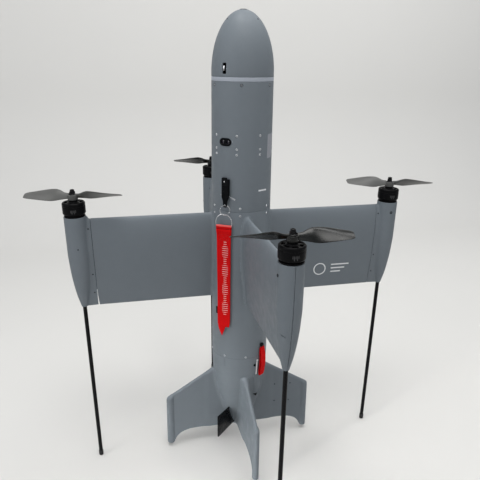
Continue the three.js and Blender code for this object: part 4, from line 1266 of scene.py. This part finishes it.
def add_tags():
    link = HANG @ shift(0, 0, LINK_CENTRE) @ turn(LINK_TURN)
    wire = ring(LINK_RADIUS, 1.15, 0.9)
    piece("link_ring_wire", wire, STEEL, link, "link_ring", "arming_link")
    split = HANG @ shift(0, SPLIT_SIDESTEP, SPLIT_CENTRE) @ turn(90)
    coil = ring(SPLIT_RADIUS, 1.25, 0.8, 1.94, 1.5)
    piece("split_ring_coil", coil, STEEL, split, "split_ring", "arming_tag")
    hang = HANG @ shift(0, SPLIT_SIDESTEP)
    ribbon = arming_ribbon()
    piece("arming_ribbon_webbing", ribbon, RIBBON_RED, hang, "arming_ribbon", "arming_tag", 50)
    threads = moved(stitches(11.5, 12, 2.2, 1.62), shift(0, 0, 533))
    piece("arming_ribbon_stitches", threads, RED_THREAD, hang, body="arming_tag")
    pin = turned([(0, -9), (2.6, -9, 0.6), (3, -7), (3, 0.6), (4.2, 0.6, 0.3), (5, 1.6, 0.4),
                  (5, 5, 1.2), (3.5, 6, 0.5), (0, 6)], 40)
    pin = cut(pin, moved(prism(circle(1.1, 16), -8, 8), shift(0, 0, 3.6) @ turn(90, "Y")))
    place = on_body(TAIL_PIN_BEARING, TAIL_PIN_HEIGHT)
    piece("tail_pin_knob", pin, BLACK, place, "tail_pin", "tail_tag")
    tail = turn(TAIL_PIN_BEARING)
    piece("tail_ribbon_webbing", tail_ribbon(), TAIL_RED, tail, "tail_ribbon", "tail_tag", 60)


def status_lamp():
    """A window with rounded corners, bent to the fuselage's curve."""
    points, faces = prism(rectangle(11, 1.6, 0.8), -1.4, 0.5)
    curved = points.copy()
    curved[:, 2] += np.sqrt(BODY_RADIUS ** 2 - curved[:, 0] ** 2) - BODY_RADIUS
    return curved, faces


def add_fittings():
    sensor = on_body(SENSOR_BEARING, SENSOR_HEIGHT)
    piece("range_sensor_housing", range_sensor(), BLACK, sensor, "range_sensor", bevel=0.3)
    piece("range_sensor_lenses", sensor_lens(), GLASS, sensor)
    piece("range_sensor_rims", sensor_rims(), DARK_RIM, sensor)
    piece("status_lamp", status_lamp(), LAMP, LAMP_PLACE, bevel=0.25)
    add_label()
    add_wing_marking()
    add_antenna()
    cover = prism(rectangle(4, 8, 1), -0.5, 2)
    piece("service_port_cover", cover, BLACK, on_body(-154, 362), bevel=0.4)
    # A black plate inside the outlet's mouth: painted shade for the dark inside of the opening.
    shade_plate = prism([(-0.6, -0.6), (0.6, -0.6), (7.7, 8.1), (-7.7, 8.1)], -5.5, 1.8)
    piece("outlet_shade_plate", shade_plate, BLACK, OUTLET_MOUTH)
    tie = merged(block((-1.7, -22, 0.3), (1.7, 13, 1.1)), block((-2.2, 12, 0.3), (2.2, 15.5, 2)))
    tie_place = on_body(-63.5, 226, tail_radius(222)) @ turn(-4)
    piece("white_cable_tie", tie, WHITE_PLASTIC, tie_place, bevel=0.25)
    boss = turned([(0, -1), (3, -1), (3, 1.6, 0.5), (0, 1.6)], 24)
    piece("drain_plug", boss, BLACK, on_tail(-69, 229))


def add_wing_marking():
    """A plain ring and three bars on the right wing, laid on its curved face."""
    thick, inner, outer, ring_centre = 0.25, 12.6, 15.2, (190, 433, 0)
    flat = [loft([[(x, z, h) for x, z in outline] for h in (0, thick)]) for outline in bar_outlines()]
    section = ((outer, 0), (outer, thick), (inner, thick), (inner, 0))
    points, faces = turned(section, 64)
    flat.append((points + ring_centre, faces))
    points, faces = merged(*flat)
    rise = section_half(WING_TOP - points[:, 1]) + 0.02 + points[:, 2]
    laid = np.column_stack([points[:, 0], -rise, points[:, 1]])
    piece("wing_marking", (laid, faces), WHITE_PLASTIC)


def bar_outlines():
    start, top_bar, spacing, width = 218, 441, 9, 3
    outlines = []
    for k, length in enumerate((44, 34, 24)):
        z = top_bar - spacing * k
        xs = np.linspace(start, start + length, 8)
        outlines.append([(x, z) for x in xs] + [(x, z + width) for x in xs[::-1]])
    return outlines


def add_label():
    """A blank strip of film laid round the wall, a little narrower at its lower end."""
    bottom, top, rings = 705, 754, []
    for z in np.linspace(bottom, top, 12):
        left = -47.5 - (top - z) * 0.03
        right = -24 - (top - z) * 0.18
        spots = [(turn(b) @ shift(BODY_RADIUS)).translation for b in np.linspace(left, right, 12)]
        outer, inner = [[(s.x * k, s.y * k, z) for s in spots] for k in (1.004, 1.0005)]
        rings.append(outer + inner[::-1])
    piece("blank_label", loft(rings), LABEL, bevel=0.06, segments=1)


def add_antenna():
    """A thin blade whose inner edge follows the tail cone, with a clamp strip along its root."""
    stand = turn(ANTENNA_BEARING) @ turn(90, "X")
    heights = np.linspace(54, 107, 16)
    outline = [(91.5, 107.5, 2), (91, 51.5, 2)] + [(tail_radius(z) + 0.3, z) for z in heights]
    plate = moved(prism(outline, -1.2, 1.2), stand)
    piece("antenna_blade", plate, ANTENNA, replaces="blade_antenna", bevel=0.3)
    inside = heights[1:-1]
    strip = [(tail_radius(z) - 0.6, z) for z in inside]
    strip += [(tail_radius(z) + 3.2, z) for z in inside[::-1]]
    piece("antenna_clamp", moved(prism(strip, -2.4, 2.4), stand), PAINT, bevel=0.5)


# ---- Equipment inside ----

def add_equipment():
    bottom, top = low("battery_pack")[2], high("battery_pack")[2]
    half = high("battery_pack")[0] - 0.8
    cells = rectangle(half, half, 7)
    piece("battery_cells", prism(cells, bottom + 0.5, top - 1), BATTERY, None, "battery_pack",
          bevel=2.0, segments=3)
    room = prism(cells, 0, 1200)
    around = rectangle(half + 0.9, half + 0.9, 7)
    straps = [cut(prism(around, z, z + 20), room) for z in (bottom + 30, top - 50)]
    piece("battery_straps", merged(*straps), STRAP, bevel=0.3)
    bends = ((0, 4, -2), (0, 4, 8), (3, -6, 14), (8, -20, 10), (9, -34, 2), (9, -40, -20))
    for name, look, x in (("battery_lead_red", RED_WIRE, -8), ("battery_lead_black", BLACK_WIRE, 2)):
        path = spline([(x + along, y, top + z) for along, y, z in bends], 8)
        piece(name, swept(path, circle(2.1, 14), (1, 0, 0)), look)
    kept = {"flight_controller": BOARD, "speed_controller": BOARD, "avionics_tray": TRAY,
            "spar_left_right": LEG_CARBON, "spar_front_back": LEG_CARBON}
    for node, look in kept.items():
        slots = frame["nodes"][node].data.materials
        slots.clear()
        slots.append(look)


# ---- Stage ----

CAMERA_PLACE = (-0.28668, -1.17690, 0.90199)
CAMERA_BEARING = -13.6365
CAMERA_DOWN = 17.7496
CAMERA_ROLL = 0.6982
CAMERA_LENS = 42.646


def add_camera():
    lens = bpy.data.cameras.new("camera")
    lens.lens, lens.sensor_width, lens.clip_start = CAMERA_LENS, 36, 0.05
    camera = add_to_scene("camera", lens)
    place = Matrix.Translation(CAMERA_PLACE) @ turn(CAMERA_BEARING) @ turn(90 - CAMERA_DOWN, "X")
    camera.matrix_world = place @ turn(CAMERA_ROLL)
    bpy.context.scene.camera = camera


def plain_look(name, tone):
    look = Look(name, Roughness=0.8, Specular_IOR_Level=0.2)
    return look.set(look.mix(look.noise(3, 2), tuple(c * 0.985 for c in tone), tone))


def add_backdrop():
    """A pale floor that curves up into a pale wall."""
    wall, curve, reach, half_width, wall_top = 2.2, 0.7, 4.0, 6, 5
    path = [(-reach, 0), (wall - curve, 0)]
    path += [(wall - curve + curve * math.sin(a), curve - curve * math.cos(a))
             for a in np.linspace(0.1, math.pi / 2, 16)]
    path.append((wall, wall_top))
    points = [(x, y, z) for y, z in path for x in (-half_width, half_width)]
    faces = [(2 * k, 2 * k + 1, 2 * k + 3, 2 * k + 2) for k in range(len(path) - 1)]
    mesh = bpy.data.meshes.new("backdrop")
    mesh.from_pydata(points, [], faces)
    mesh.shade_smooth()
    mesh.materials.append(plain_look("backdrop", (0.64, 0.635, 0.62)))
    add_to_scene("backdrop", mesh)


def add_area(name, place, target, size, power, tone, spread=180):
    light = bpy.data.lights.new(name, "AREA")
    light.shape, light.size, light.energy, light.color = "DISK", size, power, tone
    light.spread = math.radians(spread)
    made = add_to_scene(name, light)
    made.location = place
    made.rotation_mode = "QUATERNION"
    made.rotation_quaternion = (Vector(target) - made.location).to_track_quat("-Z", "Y")


def add_lights():
    middle = (0, 0, 0.5)
    add_area("ceiling", (-0.2, -0.5, 3.2), middle, 2.4, 84, (1.0, 0.99, 0.97))
    add_area("left_window", (-2.6, -0.9, 1.4), middle, 1.6, 17, (0.97, 0.98, 1.0))
    add_area("front_fill", (0.9, -3.0, 1.5), middle, 2.0, 9, (1.0, 0.98, 0.95))
    add_area("low_fill", (-2.0, -1.2, 0.3), (0, -0.12, -0.04), 0.4, 0.7, (1.0, 0.98, 0.95), 22)
    add_area("wall_wash", (1.6, 0.3, 2.8), (1.4, 2.2, 0.8), 1.6, 28, (1.0, 1.0, 0.99))
    world = bpy.data.worlds.new("studio")
    world.use_nodes = True
    sky = world.node_tree.nodes["Background"].inputs
    sky[0].default_value = (0.9, 0.94, 1.0, 1)
    sky[1].default_value = 0.34
    bpy.context.scene.world = world
    bpy.context.scene.view_settings.view_transform = "Standard"


add_fuselage()
add_arms()
add_key()
add_tags()
add_fittings()
add_equipment()
add_camera()
add_backdrop()
add_lights()
